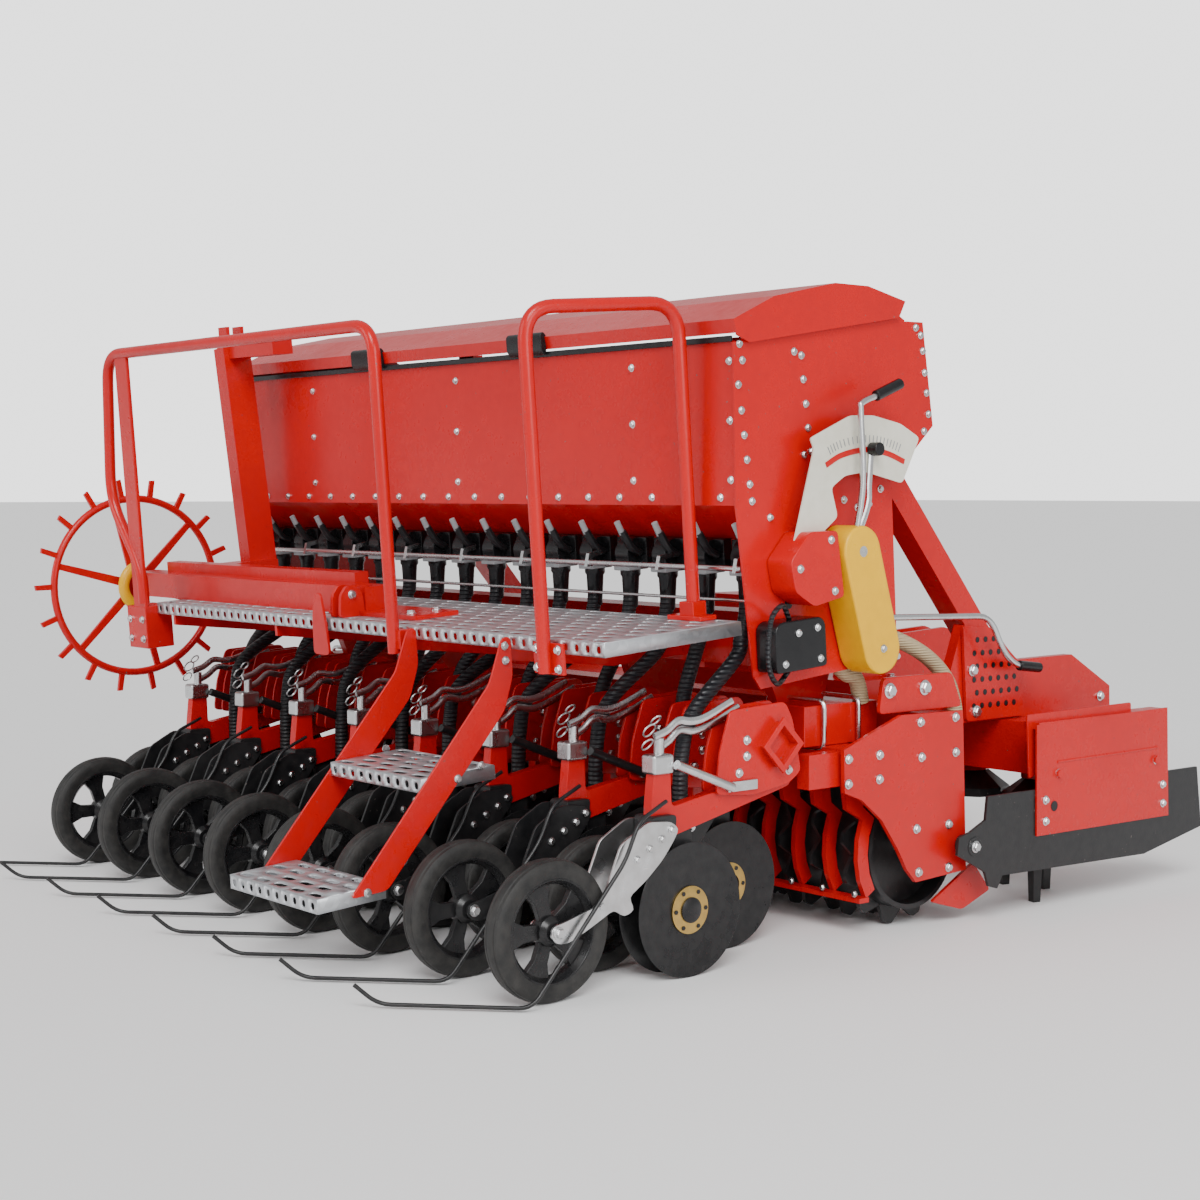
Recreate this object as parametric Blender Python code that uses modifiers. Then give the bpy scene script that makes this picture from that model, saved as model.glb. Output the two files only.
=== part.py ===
"""A mounted seed drill that rides on a power harrow and a packer roller.

Metres, +Z up, +Y forward, +X to the machine's right. The machine frame has its centre plane at
x = 0, the rear press wheels near y = 0 and the ground at z = 0. An empty carries that frame to the
part's own origin, on the ground under the middle of the whole outline. The seed box, its frame, the
walkway and the rails lean back together, so they hang from a second, turned empty and their
sizes are upright ones.
"""
import math
import bmesh
import bpy
from mathutils import Matrix, Vector

# --- driving dimensions ---------------------------------------------------------------------
ROWS = 16
ROW_PITCH = 0.15625
ROW_STAGGER = 0.27
SPOUT_SPREAD = 0.93
REAR_WHEEL_Y = -0.03
WHEEL_RADIUS = 0.16
WHEEL_HALF_WIDTH = 0.0275
WHEEL_STEPS = 12
DISC_RADIUS = 0.158
DISC_Y = 0.365
POST_Y = 0.285
BAR_Y, BAR_Z = 0.65, 0.52
BAR_SIDE = 0.08
BAR_LENGTH = 2.44
TILT_DEG = 4.3
TILT_Y, TILT_Z = 0.345, 0.797
BOX_HALF = 1.15
PLATE = 0.006
ROLLER_Y, ROLLER_Z = 1.18, 0.21
ROLLER_RINGS = 21
RING_PITCH = 0.111
DRUM_RADIUS = 0.165
SIDE_PLATE_X = 1.23
ROTORS = 10
ROTOR_PITCH = 0.25
ROTOR_Y = 1.758
TINE_CIRCLE_RADIUS = 0.118
SHIELD_X = 1.285
STAR_X, STAR_Y, STAR_Z = -1.39, 0.28, 0.825
STAR_RADIUS = 0.35
GAP = 0.0003
REAR_END, FRONT_END = -0.41, 2.32
LEFT_END, RIGHT_END = -1.41, 1.2965

MACHINE_SHIFT = Vector((-(LEFT_END + RIGHT_END) / 2, -(REAR_END + FRONT_END) / 2, 0.0))
MODEL = "seed_drill"
CUTTERS = "cutters"
JOINS = []


# --- scene ----------------------------------------------------------------------------------
def clear_scene():
    for obj in list(bpy.data.objects):
        bpy.data.objects.remove(obj, do_unlink=True)


def collection(name, parent=None):
    coll = bpy.data.collections.new(name)
    (parent or bpy.context.scene.collection).children.link(coll)
    return coll


def empty(name, matrix, parent=None):
    obj = bpy.data.objects.new(name, None)
    MODEL_COLL.objects.link(obj)
    obj.parent = parent
    obj.matrix_local = matrix
    return obj


def tilt_matrix():
    """The lean of the seed box group about a line along x through the walkway."""
    pivot = Matrix.Translation((0.0, TILT_Y, TILT_Z))
    return pivot @ Matrix.Rotation(math.radians(TILT_DEG), 4, "X") @ pivot.inverted()


def to_tilt(y, z):
    """A machine-frame point as (y, z) in the leaning group's own upright sizes."""
    point = tilt_matrix().inverted() @ Vector((0.0, y, z))
    return point.y, point.z


def material(name, colour, roughness=0.4, metallic=0.0):
    mat = bpy.data.materials.new(name)
    mat.use_nodes = True
    shader = mat.node_tree.nodes["Principled BSDF"]
    shader.inputs["Base Color"].default_value = (*colour, 1.0)
    shader.inputs["Roughness"].default_value = roughness
    shader.inputs["Metallic"].default_value = metallic
    return mat


# --- makers of single shapes ------------------------------------------------------------------
def adopt(obj, name, parent, mat=None):
    """Name a new object, hang it on its empty and put it in the model's collection."""
    obj.name = name
    for coll in list(obj.users_collection):
        coll.objects.unlink(obj)
    MODEL_COLL.objects.link(obj)
    obj.parent = parent
    if mat is not None:
        obj.data.materials.clear()
        obj.data.materials.append(mat)
    return obj


def box(name, low, high, parent, mat=None):
    size = [b - a for a, b in zip(low, high)]
    centre = [(a + b) / 2 for a, b in zip(low, high)]
    bpy.ops.mesh.primitive_cube_add(size=1.0)
    obj = bpy.context.object
    obj.data.transform(Matrix.Diagonal((*size, 1.0)))
    obj.location = centre
    return adopt(obj, name, parent, mat)


def rod(name, start, end, radius, parent, mat=None, sides=8):
    """A straight round bar between two points."""
    start, end = Vector(start), Vector(end)
    bpy.ops.mesh.primitive_cylinder_add(vertices=sides, radius=radius, depth=(end - start).length)
    obj = bpy.context.object
    turn = (end - start).to_track_quat("Z", "Y").to_matrix().to_4x4()
    obj.data.transform(Matrix.Translation((start + end) / 2) @ turn)
    return adopt(obj, name, parent, mat)


def beam(name, start, end, width, height, parent, mat=None):
    """A straight square bar; height is measured in the plane that holds z."""
    start, end = Vector(start), Vector(end)
    bpy.ops.mesh.primitive_cube_add(size=1.0)
    obj = bpy.context.object
    turn = (end - start).to_track_quat("Z", "Y").to_matrix().to_4x4()
    sized = Matrix.Diagonal((width, height, (end - start).length, 1.0))
    obj.data.transform(Matrix.Translation((start + end) / 2) @ turn @ sized)
    return adopt(obj, name, parent, mat)


def as_mesh(curve_obj, name, parent, mat):
    """Turn a curve object into a closed mesh object at the same place."""
    bpy.context.view_layer.update()
    graph = bpy.context.evaluated_depsgraph_get()
    mesh = bpy.data.meshes.new_from_object(curve_obj.evaluated_get(graph))
    work = bmesh.new()
    work.from_mesh(mesh)
    bmesh.ops.remove_doubles(work, verts=work.verts, dist=0.00001)
    bmesh.ops.recalc_face_normals(work, faces=work.faces)
    work.to_mesh(mesh)
    work.free()
    obj = bpy.data.objects.new(name, mesh)
    MODEL_COLL.objects.link(obj)
    obj.matrix_world = curve_obj.matrix_world.copy()
    bpy.data.objects.remove(curve_obj, do_unlink=True)
    obj.data.transform(obj.matrix_world)
    obj.matrix_world = Matrix.Identity(4)
    return adopt(obj, name, parent, mat)


def side_plate(name, outline, x, thickness, parent, mat=None):
    """A flat plate standing in a y-z plane, its mid-plane at x."""
    curve = bpy.data.curves.new(name, "CURVE")
    curve.dimensions = "2D"
    curve.fill_mode = "BOTH"
    curve.extrude = thickness / 2
    spline = curve.splines.new("POLY")
    spline.points.add(len(outline) - 1)
    for point, (y, z) in zip(spline.points, outline):
        point.co = (y, z, 0.0, 1.0)
    spline.use_cyclic_u = True
    obj = bpy.data.objects.new(name, curve)
    MODEL_COLL.objects.link(obj)
    obj.rotation_euler = (math.pi / 2, 0.0, math.pi / 2)
    obj.location = (x, 0.0, 0.0)
    return as_mesh(obj, name, parent, mat)


def tube(name, points, radius, parent, mat=None, resolution=1):
    """A bent round tube or wire through the points."""
    curve = bpy.data.curves.new(name, "CURVE")
    curve.dimensions = "3D"
    curve.bevel_depth = radius
    curve.bevel_resolution = resolution
    curve.use_fill_caps = True
    curve.render_resolution_u = 0
    spline = curve.splines.new("POLY")
    spline.points.add(len(points) - 1)
    for point, place in zip(spline.points, points):
        point.co = (*place, 1.0)
    obj = bpy.data.objects.new(name, curve)
    MODEL_COLL.objects.link(obj)
    return as_mesh(obj, name, parent, mat)


def turned(name, profile, centre, steps, parent, mat=None, axis="X"):
    """A turned piece: the profile lists (radius, distance along the axis), falling along it."""
    mesh = bpy.data.meshes.new(name)
    if axis == "X":
        verts = [(along, 0.0, -radius) for radius, along in profile]
    else:
        verts = [(radius, 0.0, along) for radius, along in profile]
    mesh.from_pydata(verts, [(i, i + 1) for i in range(len(verts) - 1)], [])
    obj = bpy.data.objects.new(name, mesh)
    MODEL_COLL.objects.link(obj)
    screw = obj.modifiers.new("turn", "SCREW")
    screw.axis = axis
    screw.steps = steps
    screw.render_steps = steps
    screw.use_merge_vertices = True
    screw.merge_threshold = 0.0001
    screw.use_normal_calculate = True
    obj.location = centre
    return adopt(obj, name, parent, mat)


def union(base, pieces):
    """Weld pieces onto the base and keep them, hidden, in their own cutter collection."""
    coll = collection(base.name + "_pieces", CUTTER_COLL)
    for piece in pieces:
        hide_away(piece, coll)
    JOINS.append((base, "UNION", coll))


def cut(base, cutter):
    hide_away(cutter, CUTTER_COLL)
    JOINS.append((base, "DIFFERENCE", cutter))


def add_joins():
    """Booleans come last, so the scene stays quick while its pieces are made."""
    for base, operation, other in JOINS:
        join = base.modifiers.new(operation.lower(), "BOOLEAN")
        join.operation = operation
        join.solver = "EXACT"
        if operation == "UNION":
            join.operand_type = "COLLECTION"
            join.collection = other
        else:
            join.object = other


def hide_away(obj, coll):
    for old in list(obj.users_collection):
        old.objects.unlink(obj)
    coll.objects.link(obj)
    obj.hide_render = True
    obj.display_type = "WIRE"


def arc(cy, cz, radius, start_deg, end_deg, count):
    """Points of an arc in the y-z plane, angles from +y towards +z."""
    angles = [start_deg + (end_deg - start_deg) * i / (count - 1) for i in range(count)]
    return [(cy + radius * math.cos(math.radians(a)), cz + radius * math.sin(math.radians(a)))
            for a in angles]


# --- coulters ---------------------------------------------------------------------------------
def row_places():
    """(number, x, forward offset) of each seed row; odd places from the left are the front row."""
    places = []
    for i in range(ROWS):
        x = (i - (ROWS - 1) / 2) * ROW_PITCH
        offset = ROW_STAGGER if i % 2 == 0 else 0.0
        places.append((i + 1, x, offset))
    return places


def press_wheel(number, x, offset):
    """A solid rubber-tyred wheel that firms the soil over the seed."""
    half = WHEEL_HALF_WIDTH
    profile = [(0.0, 0.0385), (0.012, 0.0385), (0.012, 0.032), (0.153, half), (WHEEL_RADIUS, 0.0),
               (0.153, -half), (0.012, -0.032), (0.012, -0.0385), (0.0, -0.0385)]
    centre = (x, REAR_WHEEL_Y + offset, WHEEL_RADIUS)
    turned(f"press_wheel_{number:02d}", profile, centre, WHEEL_STEPS, MACHINE, RUBBER)


def disc_pair(number, x, offset):
    """Two sharp discs on one hub that open the seed slot."""
    profile = [(0.0, 0.036), (0.03, 0.036), (DISC_RADIUS, 0.025), (0.016, 0.021),
               (0.016, -0.021), (DISC_RADIUS, -0.025), (0.03, -0.036), (0.0, -0.036)]
    centre = (x, DISC_Y + offset, DISC_RADIUS)
    turned(f"disc_pair_{number:02d}", profile, centre, WHEEL_STEPS, MACHINE, STEEL)


def coulter_pieces(number, x, offset):
    """The fixed pieces of one coulter: arm, post, disc leg, wheel fork and, in the rear row, a tine."""
    pieces = []
    shift = offset
    arm_root = BAR_Y + 0.06
    arm = [(POST_Y - 0.022 + shift, 0.33), (POST_Y + 0.04 + shift, 0.33), (arm_root, 0.415 + shift * 0.1),
           (arm_root, 0.465 + shift * 0.1), (POST_Y + 0.022 + shift, 0.385), (POST_Y + 0.022 + shift, 0.50),
           (POST_Y - 0.022 + shift, 0.50)]
    pieces.append(side_plate(f"arm_{number}", arm, x, 0.03, MACHINE))
    clamp = [(BAR_Y - 0.19, 0.45), (BAR_Y - 0.185, 0.53), (BAR_Y - 0.14, 0.605), (BAR_Y + 0.09, 0.60),
             (BAR_Y + 0.10, 0.43), (BAR_Y - 0.03, 0.415)]
    pieces.append(side_plate(f"clamp_{number}", clamp, x, 0.05, MACHINE))
    knee = (POST_Y + shift, 0.352)
    pieces.append(box(f"knee_{number}", (x - 0.0415, knee[0] - 0.018, knee[1] - 0.018),
                      (x + 0.0415, knee[0] + 0.02, knee[1] + 0.02), MACHINE))
    hub_y, hub_z = REAR_WHEEL_Y + shift, WHEEL_RADIUS
    slot = 0.0127
    fork = [(knee[0] + 0.01, knee[1] + 0.014), (knee[0] - 0.16, knee[1] - 0.03),
            (hub_y - 0.03, hub_z + 0.03), (hub_y - 0.03, hub_z - 0.012), (hub_y - slot, hub_z - 0.012),
            (hub_y - slot, hub_z + slot), (hub_y + slot, hub_z + slot), (hub_y + slot, hub_z - 0.012),
            (hub_y + 0.03, hub_z - 0.012),
            (knee[0] - 0.12, knee[1] - 0.075), (knee[0] + 0.01, knee[1] - 0.016)]
    for side in (-1, 1):
        pieces.append(side_plate(f"fork_{number}_{side}", fork, x + side * 0.0378, 0.007, MACHINE))
    leg_y, leg_z = DISC_Y + shift, DISC_RADIUS
    leg = [(knee[0] - 0.012, knee[1]), (leg_y - 0.03, leg_z - 0.012), (leg_y - 0.0165, leg_z - 0.012),
           (leg_y - 0.0165, leg_z + 0.017), (leg_y + 0.0165, leg_z + 0.017),
           (leg_y + 0.0165, leg_z - 0.012), (leg_y + 0.03, leg_z - 0.012), (knee[0] + 0.035, knee[1])]
    pieces.append(side_plate(f"leg_{number}", leg, x, 0.014, MACHINE))
    if offset == 0.0:
        wire = [(x + 0.005, POST_Y, 0.42), (x + 0.055, 0.19, 0.385), (x + 0.055, 0.15, 0.30),
                (x + 0.055, -0.115, 0.006), (x - 0.19, -0.35, 0.006), (x - 0.215, -0.395, 0.055)]
        pieces.append(tube(f"tine_{number}", wire, 0.005, MACHINE, None, 0))
    return pieces


def coulter_frame():
    """The square bar, hollow and set on its edge, with every coulter's fixed pieces."""
    half = BAR_LENGTH / 2
    corner = BAR_SIDE / math.sqrt(2)
    outer = [(BAR_Y - corner, BAR_Z), (BAR_Y, BAR_Z + corner), (BAR_Y + corner, BAR_Z), (BAR_Y, BAR_Z - corner)]
    bar = side_plate("coulter_frame", outer, 0.0, BAR_LENGTH, MACHINE, RED)
    pieces = []
    for number, x, offset in row_places():
        pieces += coulter_pieces(number, x, offset)
    union(bar, pieces)
    hollow = corner - 0.009
    inner = [(BAR_Y - hollow, BAR_Z), (BAR_Y, BAR_Z + hollow), (BAR_Y + hollow, BAR_Z), (BAR_Y, BAR_Z - hollow)]
    cut(bar, side_plate("bar_hollow", inner, 0.0, BAR_LENGTH + 0.02, MACHINE))


# --- seed box group ---------------------------------------------------------------------------
HOSE_BENDS_REAR = [(0.445, 0.605), (0.407, 0.505), (0.402, 0.335)]
HOSE_BENDS_FRONT = [(0.552, 0.61), (0.548, 0.46), (0.61, 0.335)]
HOPPER_OUTSIDE = [(0.607, 1.465), (0.588, 1.075), (0.70, 0.985), (0.84, 0.985), (1.124, 1.097),
                  (1.291, 1.226), (1.268, 1.487), (1.222, 1.494), (1.222, 1.47)]
HOPPER_INSIDE = [(0.618, 1.60), (0.592, 1.077), (0.703, 0.989), (0.838, 0.989), (1.122, 1.101),
                 (1.287, 1.228), (1.266, 1.462), (1.218, 1.466), (1.218, 1.60)]
END_OUTLINE = [(0.60, 1.462), (0.582, 1.075), (0.612, 0.6585), (0.633, 0.627), (1.123, 0.641),
               (1.13, 1.097), (1.297, 1.226), (1.274, 1.493), (1.21, 1.497)]
LID_OUTSIDE = [(0.601, 1.478), (0.594, 1.516), (0.732, 1.567), (0.945, 1.596), (1.062, 1.587),
               (1.198, 1.547), (1.172, 1.506), (0.642, 1.459)]
LID_INSIDE = [(0.606, 1.40), (0.598, 1.513), (0.733, 1.563), (0.945, 1.592), (1.061, 1.583),
              (1.191, 1.5445), (1.167, 1.506), (1.10, 1.40)]
LID_HINGE = (1.21, 1.515)
LID_HINGE_X = (-0.75, 0.75)


def hopper():
    shell = side_plate("hopper", HOPPER_OUTSIDE, 0.0, 2 * (BOX_HALF - PLATE - GAP), TILT, RED)
    cut(shell, side_plate("hopper_space", HOPPER_INSIDE, 0.0, 2 * (BOX_HALF - PLATE - 0.006), TILT))
    lugs = []
    for x in LID_HINGE_X:
        lugs.append(box(f"lug_{x}", (x - 0.04, 1.202, 1.475), (x + 0.04, 1.24, 1.5065), TILT))
    union(shell, lugs)


def hopper_lid():
    half = BOX_HALF + 0.012
    pivot = Matrix.Translation((0.0, *LID_HINGE))
    lid = side_plate("hopper_lid", LID_OUTSIDE, 0.0, 2 * half, TILT, RED)
    cut(lid, side_plate("lid_space", LID_INSIDE, 0.0, 2 * (half - 0.004), TILT))
    lid.data.transform(pivot.inverted())
    lid.location = pivot.translation
    hinge_y, hinge_z = LID_HINGE
    pieces = []
    for x in LID_HINGE_X:
        pieces.append(rod(f"barrel_{x}", (x - 0.04, *LID_HINGE), (x + 0.04, *LID_HINGE), 0.008, TILT))
        pieces.append(box(f"tab_{x}", (x - 0.035, hinge_y - 0.036, hinge_z - 0.004),
                          (x + 0.035, hinge_y, hinge_z + 0.004), TILT))
    union(lid, pieces)


def drill_frame():
    """Both end plates of the seed box, the cross tubes between them and the walkway's brackets."""
    tube_y, tube_z = 0.74, 0.66
    frame = box("drill_frame", (-BOX_HALF + 0.001, tube_y, tube_z), (BOX_HALF - 0.001, tube_y + 0.09, tube_z + 0.09),
                TILT, RED)
    pieces = [box("front_tube", (-BOX_HALF + 0.001, 1.02, 0.68), (BOX_HALF - 0.001, 1.09, 0.75), TILT)]
    for side in (-1, 1):
        pieces.append(side_plate(f"end_{side}", END_OUTLINE, side * (BOX_HALF - PLATE / 2), PLATE, TILT))
    bracket = [(0.1553, 0.7957), (0.1553, 0.735), (0.50, 0.675), (0.76, 0.675), (0.76, 0.735), (0.59, 0.758),
               (0.5757, 0.758), (0.5757, 0.7957)]
    for x in (-0.90, -0.30, 0.30, 0.75):
        pieces.append(side_plate(f"bracket_{x}", bracket, x, 0.012, TILT))
    mount = [to_tilt(0.88, 0.4903), to_tilt(0.965, 0.4903), (1.06, 0.72), (0.76, 0.72)]
    for x in (-1.0, -0.45, 0.45, 1.0):
        pieces.append(side_plate(f"mount_{x}", mount, x, 0.03, TILT))
    union(frame, pieces)


def metering_row():
    """The seed housings under the box with a spout and a hose for each row."""
    body = box("metering_row", (-1.13, 0.665, 0.905), (1.13, 0.835, 0.9845), TILT, BLACK)
    pieces = [rod("shaft", (-1.143, 0.64, 0.93), (1.143, 0.64, 0.93), 0.007, TILT, None, 6)]
    for number, x, offset in row_places():
        spout = x * SPOUT_SPREAD
        pieces.append(box(f"gate_{number}", (spout - 0.03, 0.63, 0.90), (spout + 0.03, 0.70, 0.96), TILT))
        beside = x - math.copysign(0.0435, x)
        bend = HOSE_BENDS_FRONT if offset > 0.0 else HOSE_BENDS_REAR
        route = [(spout, 0.66, 0.925), (spout, 0.655, 0.86), (spout, 0.63, 0.76), (spout, 0.61, 0.70)]
        route += [(beside, *to_tilt(y, z)) for y, z in bend]
        pieces.append(tube(f"hose_{number}", route, 0.016, TILT, None, 0))
    union(body, pieces)


def walkway():
    tray = box("walkway", (-1.0, 0.151, 0.7645), (1.15, 0.58, 0.80), TILT, ZINC)
    cut(tray, box("tray_space", (-0.996, 0.155, 0.70), (1.146, 0.576, 0.796), TILT))


def loading_steps():
    """Two treads between slanted side strips, hung from the walkway's rear flange."""
    leg = [(-0.345, 0.256), (-0.245, 0.256), (0.120, 0.62), (0.1507, 0.70), (0.1507, 0.795), (0.125, 0.795),
           (0.08, 0.69)]
    left, right = 0.40, 0.80
    steps = side_plate("loading_steps", leg, right, 0.008, TILT, RED)
    pieces = [side_plate("left_strip", leg, left, 0.008, TILT)]
    for name, y, z, depth in (("low_tread", -0.43, 0.237, 0.185), ("high_tread", -0.13, 0.46, 0.215)):
        tread = box(name, (left - 0.002, y, z), (right + 0.002, y + depth, z + 0.035), TILT)
        pieces.append(tread)
    union(steps, pieces)


def handrail_right():
    points = [(0.955, 0.13, 0.72), (0.955, 0.13, 1.50), (0.962, 0.155, 1.548), (0.975, 0.21, 1.565),
              (0.995, 0.47, 1.565), (1.005, 0.53, 1.548), (1.01, 0.555, 1.50), (1.01, 0.555, 0.81)]
    rail = tube("handrail_right", points, 0.017, TILT, RED, 1)
    union(rail, [box("rail_foot", (0.95, 0.52, 0.8003), (1.07, 0.575, 0.83), TILT),
                 box("rail_plate", (0.90, 0.1405, 0.715), (1.01, 0.1507, 0.79), TILT)])


def handrail_left():
    points = [(0.345, 0.12, 0.73), (0.345, 0.12, 1.50), (0.33, 0.12, 1.545), (0.285, 0.12, 1.565),
              (-1.045, 0.12, 1.565), (-1.105, 0.12, 1.55), (-1.135, 0.12, 1.50), (-1.20, 0.12, 1.16),
              (-1.185, 0.12, 1.10), (-1.03, 0.12, 0.93), (-1.02, 0.12, 0.86)]
    rail = tube("handrail_left", points, 0.017, TILT, RED, 1)
    union(rail, [box("flat_post", (-1.075, 0.11, 0.66), (-1.0, 0.13, 1.57), TILT),
                 box("foot_plate", (-1.12, 0.11, 0.66), (-1.0003, 0.20, 0.79), TILT),
                 box("post_plate", (0.325, 0.1195, 0.74), (0.365, 0.1507, 0.79), TILT)])


def wheel_carrier():
    """The cross beam that carries the land wheel, with its upright arm and lifting lugs."""
    beam_piece = box("wheel_carrier", (-1.315, 0.24, 0.8003), (0.04, 0.32, 0.875), TILT, RED)
    pieces = [box("foot", (-0.12, 0.22, 0.8003), (0.30, 0.36, 0.812), TILT),
              box("second_bar", (-1.20, 0.30, 0.86), (-0.10, 0.345, 0.905), TILT),
              box("upright_low", (-0.995, 0.31, 0.83), (-0.90, 0.53, 0.90), TILT),
              beam("upright", (-0.945, 0.49, 0.84), (-1.02, 0.49, 1.57), 0.095, 0.06, TILT),
              box("short_arm", (-1.06, 0.46, 1.535), (-0.72, 0.53, 1.60), TILT),
              rod("axle", (STAR_X - 0.02, STAR_Y, STAR_Z), (-1.30, STAR_Y, STAR_Z), 0.015, TILT, None, 8)]
    for y in (0.47, 0.52):
        pieces.append(box(f"lug_{y}", (-1.05, y - 0.006, 1.59), (-1.0, y + 0.006, 1.635), TILT))
    union(beam_piece, pieces)


def star_wheel():
    """The spiked land wheel that drives the seed shaft, parked clear of the ground."""
    centre = (STAR_X, STAR_Y, STAR_Z)
    bore = 0.0165
    ring = [(0.045, 0.02), (0.045, -0.02), (bore, -0.02), (bore, 0.02), (0.045, 0.02)]
    hub = turned("star_wheel", ring, centre, 12, TILT, RED)
    pieces = []
    bpy.ops.mesh.primitive_torus_add(major_radius=0.283, minor_radius=0.012, major_segments=18, minor_segments=5)
    rim = bpy.context.object
    rim.data.transform(Matrix.Translation(centre) @ Matrix.Rotation(math.pi / 2, 4, "Y"))
    pieces.append(adopt(rim, "rim", TILT))
    for i in range(18):
        angle = 2 * math.pi * i / 18
        out = Vector((0.0, math.cos(angle), math.sin(angle)))
        base = Vector(centre)
        pieces.append(rod(f"spike_{i}", base + out * 0.278, base + out * STAR_RADIUS, 0.009, TILT, None, 5))
        if i % 3 == 0:
            pieces.append(rod(f"spoke_{i}", base + out * 0.035, base + out * 0.283, 0.008, TILT, None, 5))
    union(hub, pieces)


def drive_side():
    """The seed rate scale, the drive housing and the chain guard on the right end plate."""
    face = BOX_HALF + GAP
    scale = [(0.79, 0.985), (0.77, 0.965), (0.775, 0.93), (0.83, 0.955), (0.90, 1.03)]
    scale += arc(1.03, 0.985, 0.185, 125, 52, 6)
    scale += arc(1.03, 0.985, 0.325, 52, 128, 8)
    scale += [(0.855, 1.16), (0.84, 1.20)]
    guard = arc(0.912, 0.937, 0.064, 195, 15, 9) + arc(0.968, 0.69, 0.064, 15, -165, 9)
    housing = box("drive_side", (face, 0.74, 0.83), (face + 0.09, 0.96, 0.98), TILT, YELLOW)
    pieces = [side_plate("scale", scale, face + 0.075, 0.006, TILT),
              side_plate("guard", guard, face + 0.05, 0.0995, TILT),
              box("cover", (face, 0.68, 0.69), (face + 0.075, 0.86, 0.835), TILT)]
    union(housing, pieces)


# --- roller -------------------------------------------------------------------------------------
def packer_roller():
    """A drum with a toothed ring in every gap between the scrapers."""
    profile = [(0.0, 1.215), (0.02, 1.215), (0.02, 1.165), (DRUM_RADIUS, 1.165)]
    for i in range(ROLLER_RINGS):
        x = ((ROLLER_RINGS - 1) / 2 - i) * RING_PITCH
        profile += [(DRUM_RADIUS, x + 0.028), (ROLLER_Z, x), (DRUM_RADIUS, x - 0.028)]
    profile += [(DRUM_RADIUS, -1.165), (0.02, -1.165), (0.02, -1.215), (0.0, -1.215)]
    turned("packer_roller", profile, (0.0, ROLLER_Y, ROLLER_Z), 12, MACHINE, BLACK)


def roller_frame():
    """Side plates, the cross beam and the scrapers behind the packer."""
    plate = [(0.846, 0.493), (1.056, 0.564), (1.291, 0.560), (1.309, 0.142), (1.114, 0.133), (1.08, 0.168)]
    plate += [(1.045, 0.225), (0.985, 0.305), (0.911, 0.363), (0.85, 0.386)]
    frame = box("roller_frame", (-1.235, 0.87, 0.41), (1.235, 0.97, 0.49), MACHINE, RED)
    pieces = []
    for side in (-1, 1):
        pieces.append(side_plate(f"roller_side_{side}", plate, side * SIDE_PLATE_X, 0.012, MACHINE))
        pieces.append(box(f"link_{side}", (side * 1.19 - 0.02, 0.7503, 0.40), (side * 1.19 + 0.02, 0.90, 0.485),
                          MACHINE))
        pieces.append(box(f"bearing_{side}", (side * 1.212 - 0.015, ROLLER_Y - 0.05, ROLLER_Z + 0.0205),
                          (side * 1.212 + 0.015, ROLLER_Y + 0.05, ROLLER_Z + 0.09), MACHINE))
    for side in (-1, 1):
        pieces.append(beam(f"strut_{side}", (side * 1.03, 1.60, 0.70), (side * 1.03, 1.20, 1.165), 0.07, 0.07,
                           MACHINE))
    arm_outline = [(1.20, 0.5003), (2.125, 0.5003), (2.123, 0.562), (1.943, 0.662), (1.70, 0.66), (1.579, 0.755),
                   (1.465, 0.766), (1.40, 0.60), (1.20, 0.56)]
    for side in (-1, 1):
        pieces.append(side_plate(f"depth_arm_{side}", arm_outline, side * 1.07, 0.03, MACHINE))
    pieces.append(box("roller_tube", (-1.235, 1.19, 0.475), (1.235, 1.29, 0.555), MACHINE))
    union(frame, pieces)


def scraper_row():
    """A curved arm in every gap between the packer's rings, hung under the frame's rear tube."""
    arm = [(0.91, 0.4097), (0.975, 0.4097)] + [(0.985, 0.33)] + arc(ROLLER_Y, ROLLER_Z, 0.178, 150, 212, 5)
    arm += arc(ROLLER_Y, ROLLER_Z, 0.215, 212, 156, 5) + [(0.925, 0.33)]
    row = box("scraper_row", (-1.18, 0.905, 0.395), (1.18, 0.935, 0.4097), MACHINE, RED)
    pieces = [box("scraper_bar", (-1.18, 0.965, 0.088), (1.18, 1.0, 0.10), MACHINE)]
    for i in range(ROLLER_RINGS + 1):
        x = (i - ROLLER_RINGS / 2) * RING_PITCH
        pieces.append(side_plate(f"scraper_{i}", arm, x, 0.014, MACHINE))
    union(row, pieces)


# --- harrow ---------------------------------------------------------------------------------------
def harrow_rotor(number, x, turn):
    """A rotor plate with its two knife tines."""
    centre = (x, ROTOR_Y, 0.0)
    profile = [(0.0, 0.33), (0.05, 0.33), (0.11, 0.285), (0.11, 0.262), (0.0, 0.262)]
    head = turned(f"rotor_{number:02d}", profile, centre, 10, MACHINE, BLACK, "Z")
    pieces = []
    for side in (-1, 1):
        bpy.ops.mesh.primitive_cone_add(vertices=4, radius1=0.016, radius2=0.028, depth=0.275)
        tine = bpy.context.object
        place = Matrix.Rotation(turn, 4, "Z") @ Matrix.Translation((side * (TINE_CIRCLE_RADIUS - 0.02), 0.0, 0.1375))
        tine.data.transform(place)
        tine.location = centre
        pieces.append(adopt(tine, f"knife_{number}_{side}", MACHINE))
    union(head, pieces)


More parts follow.
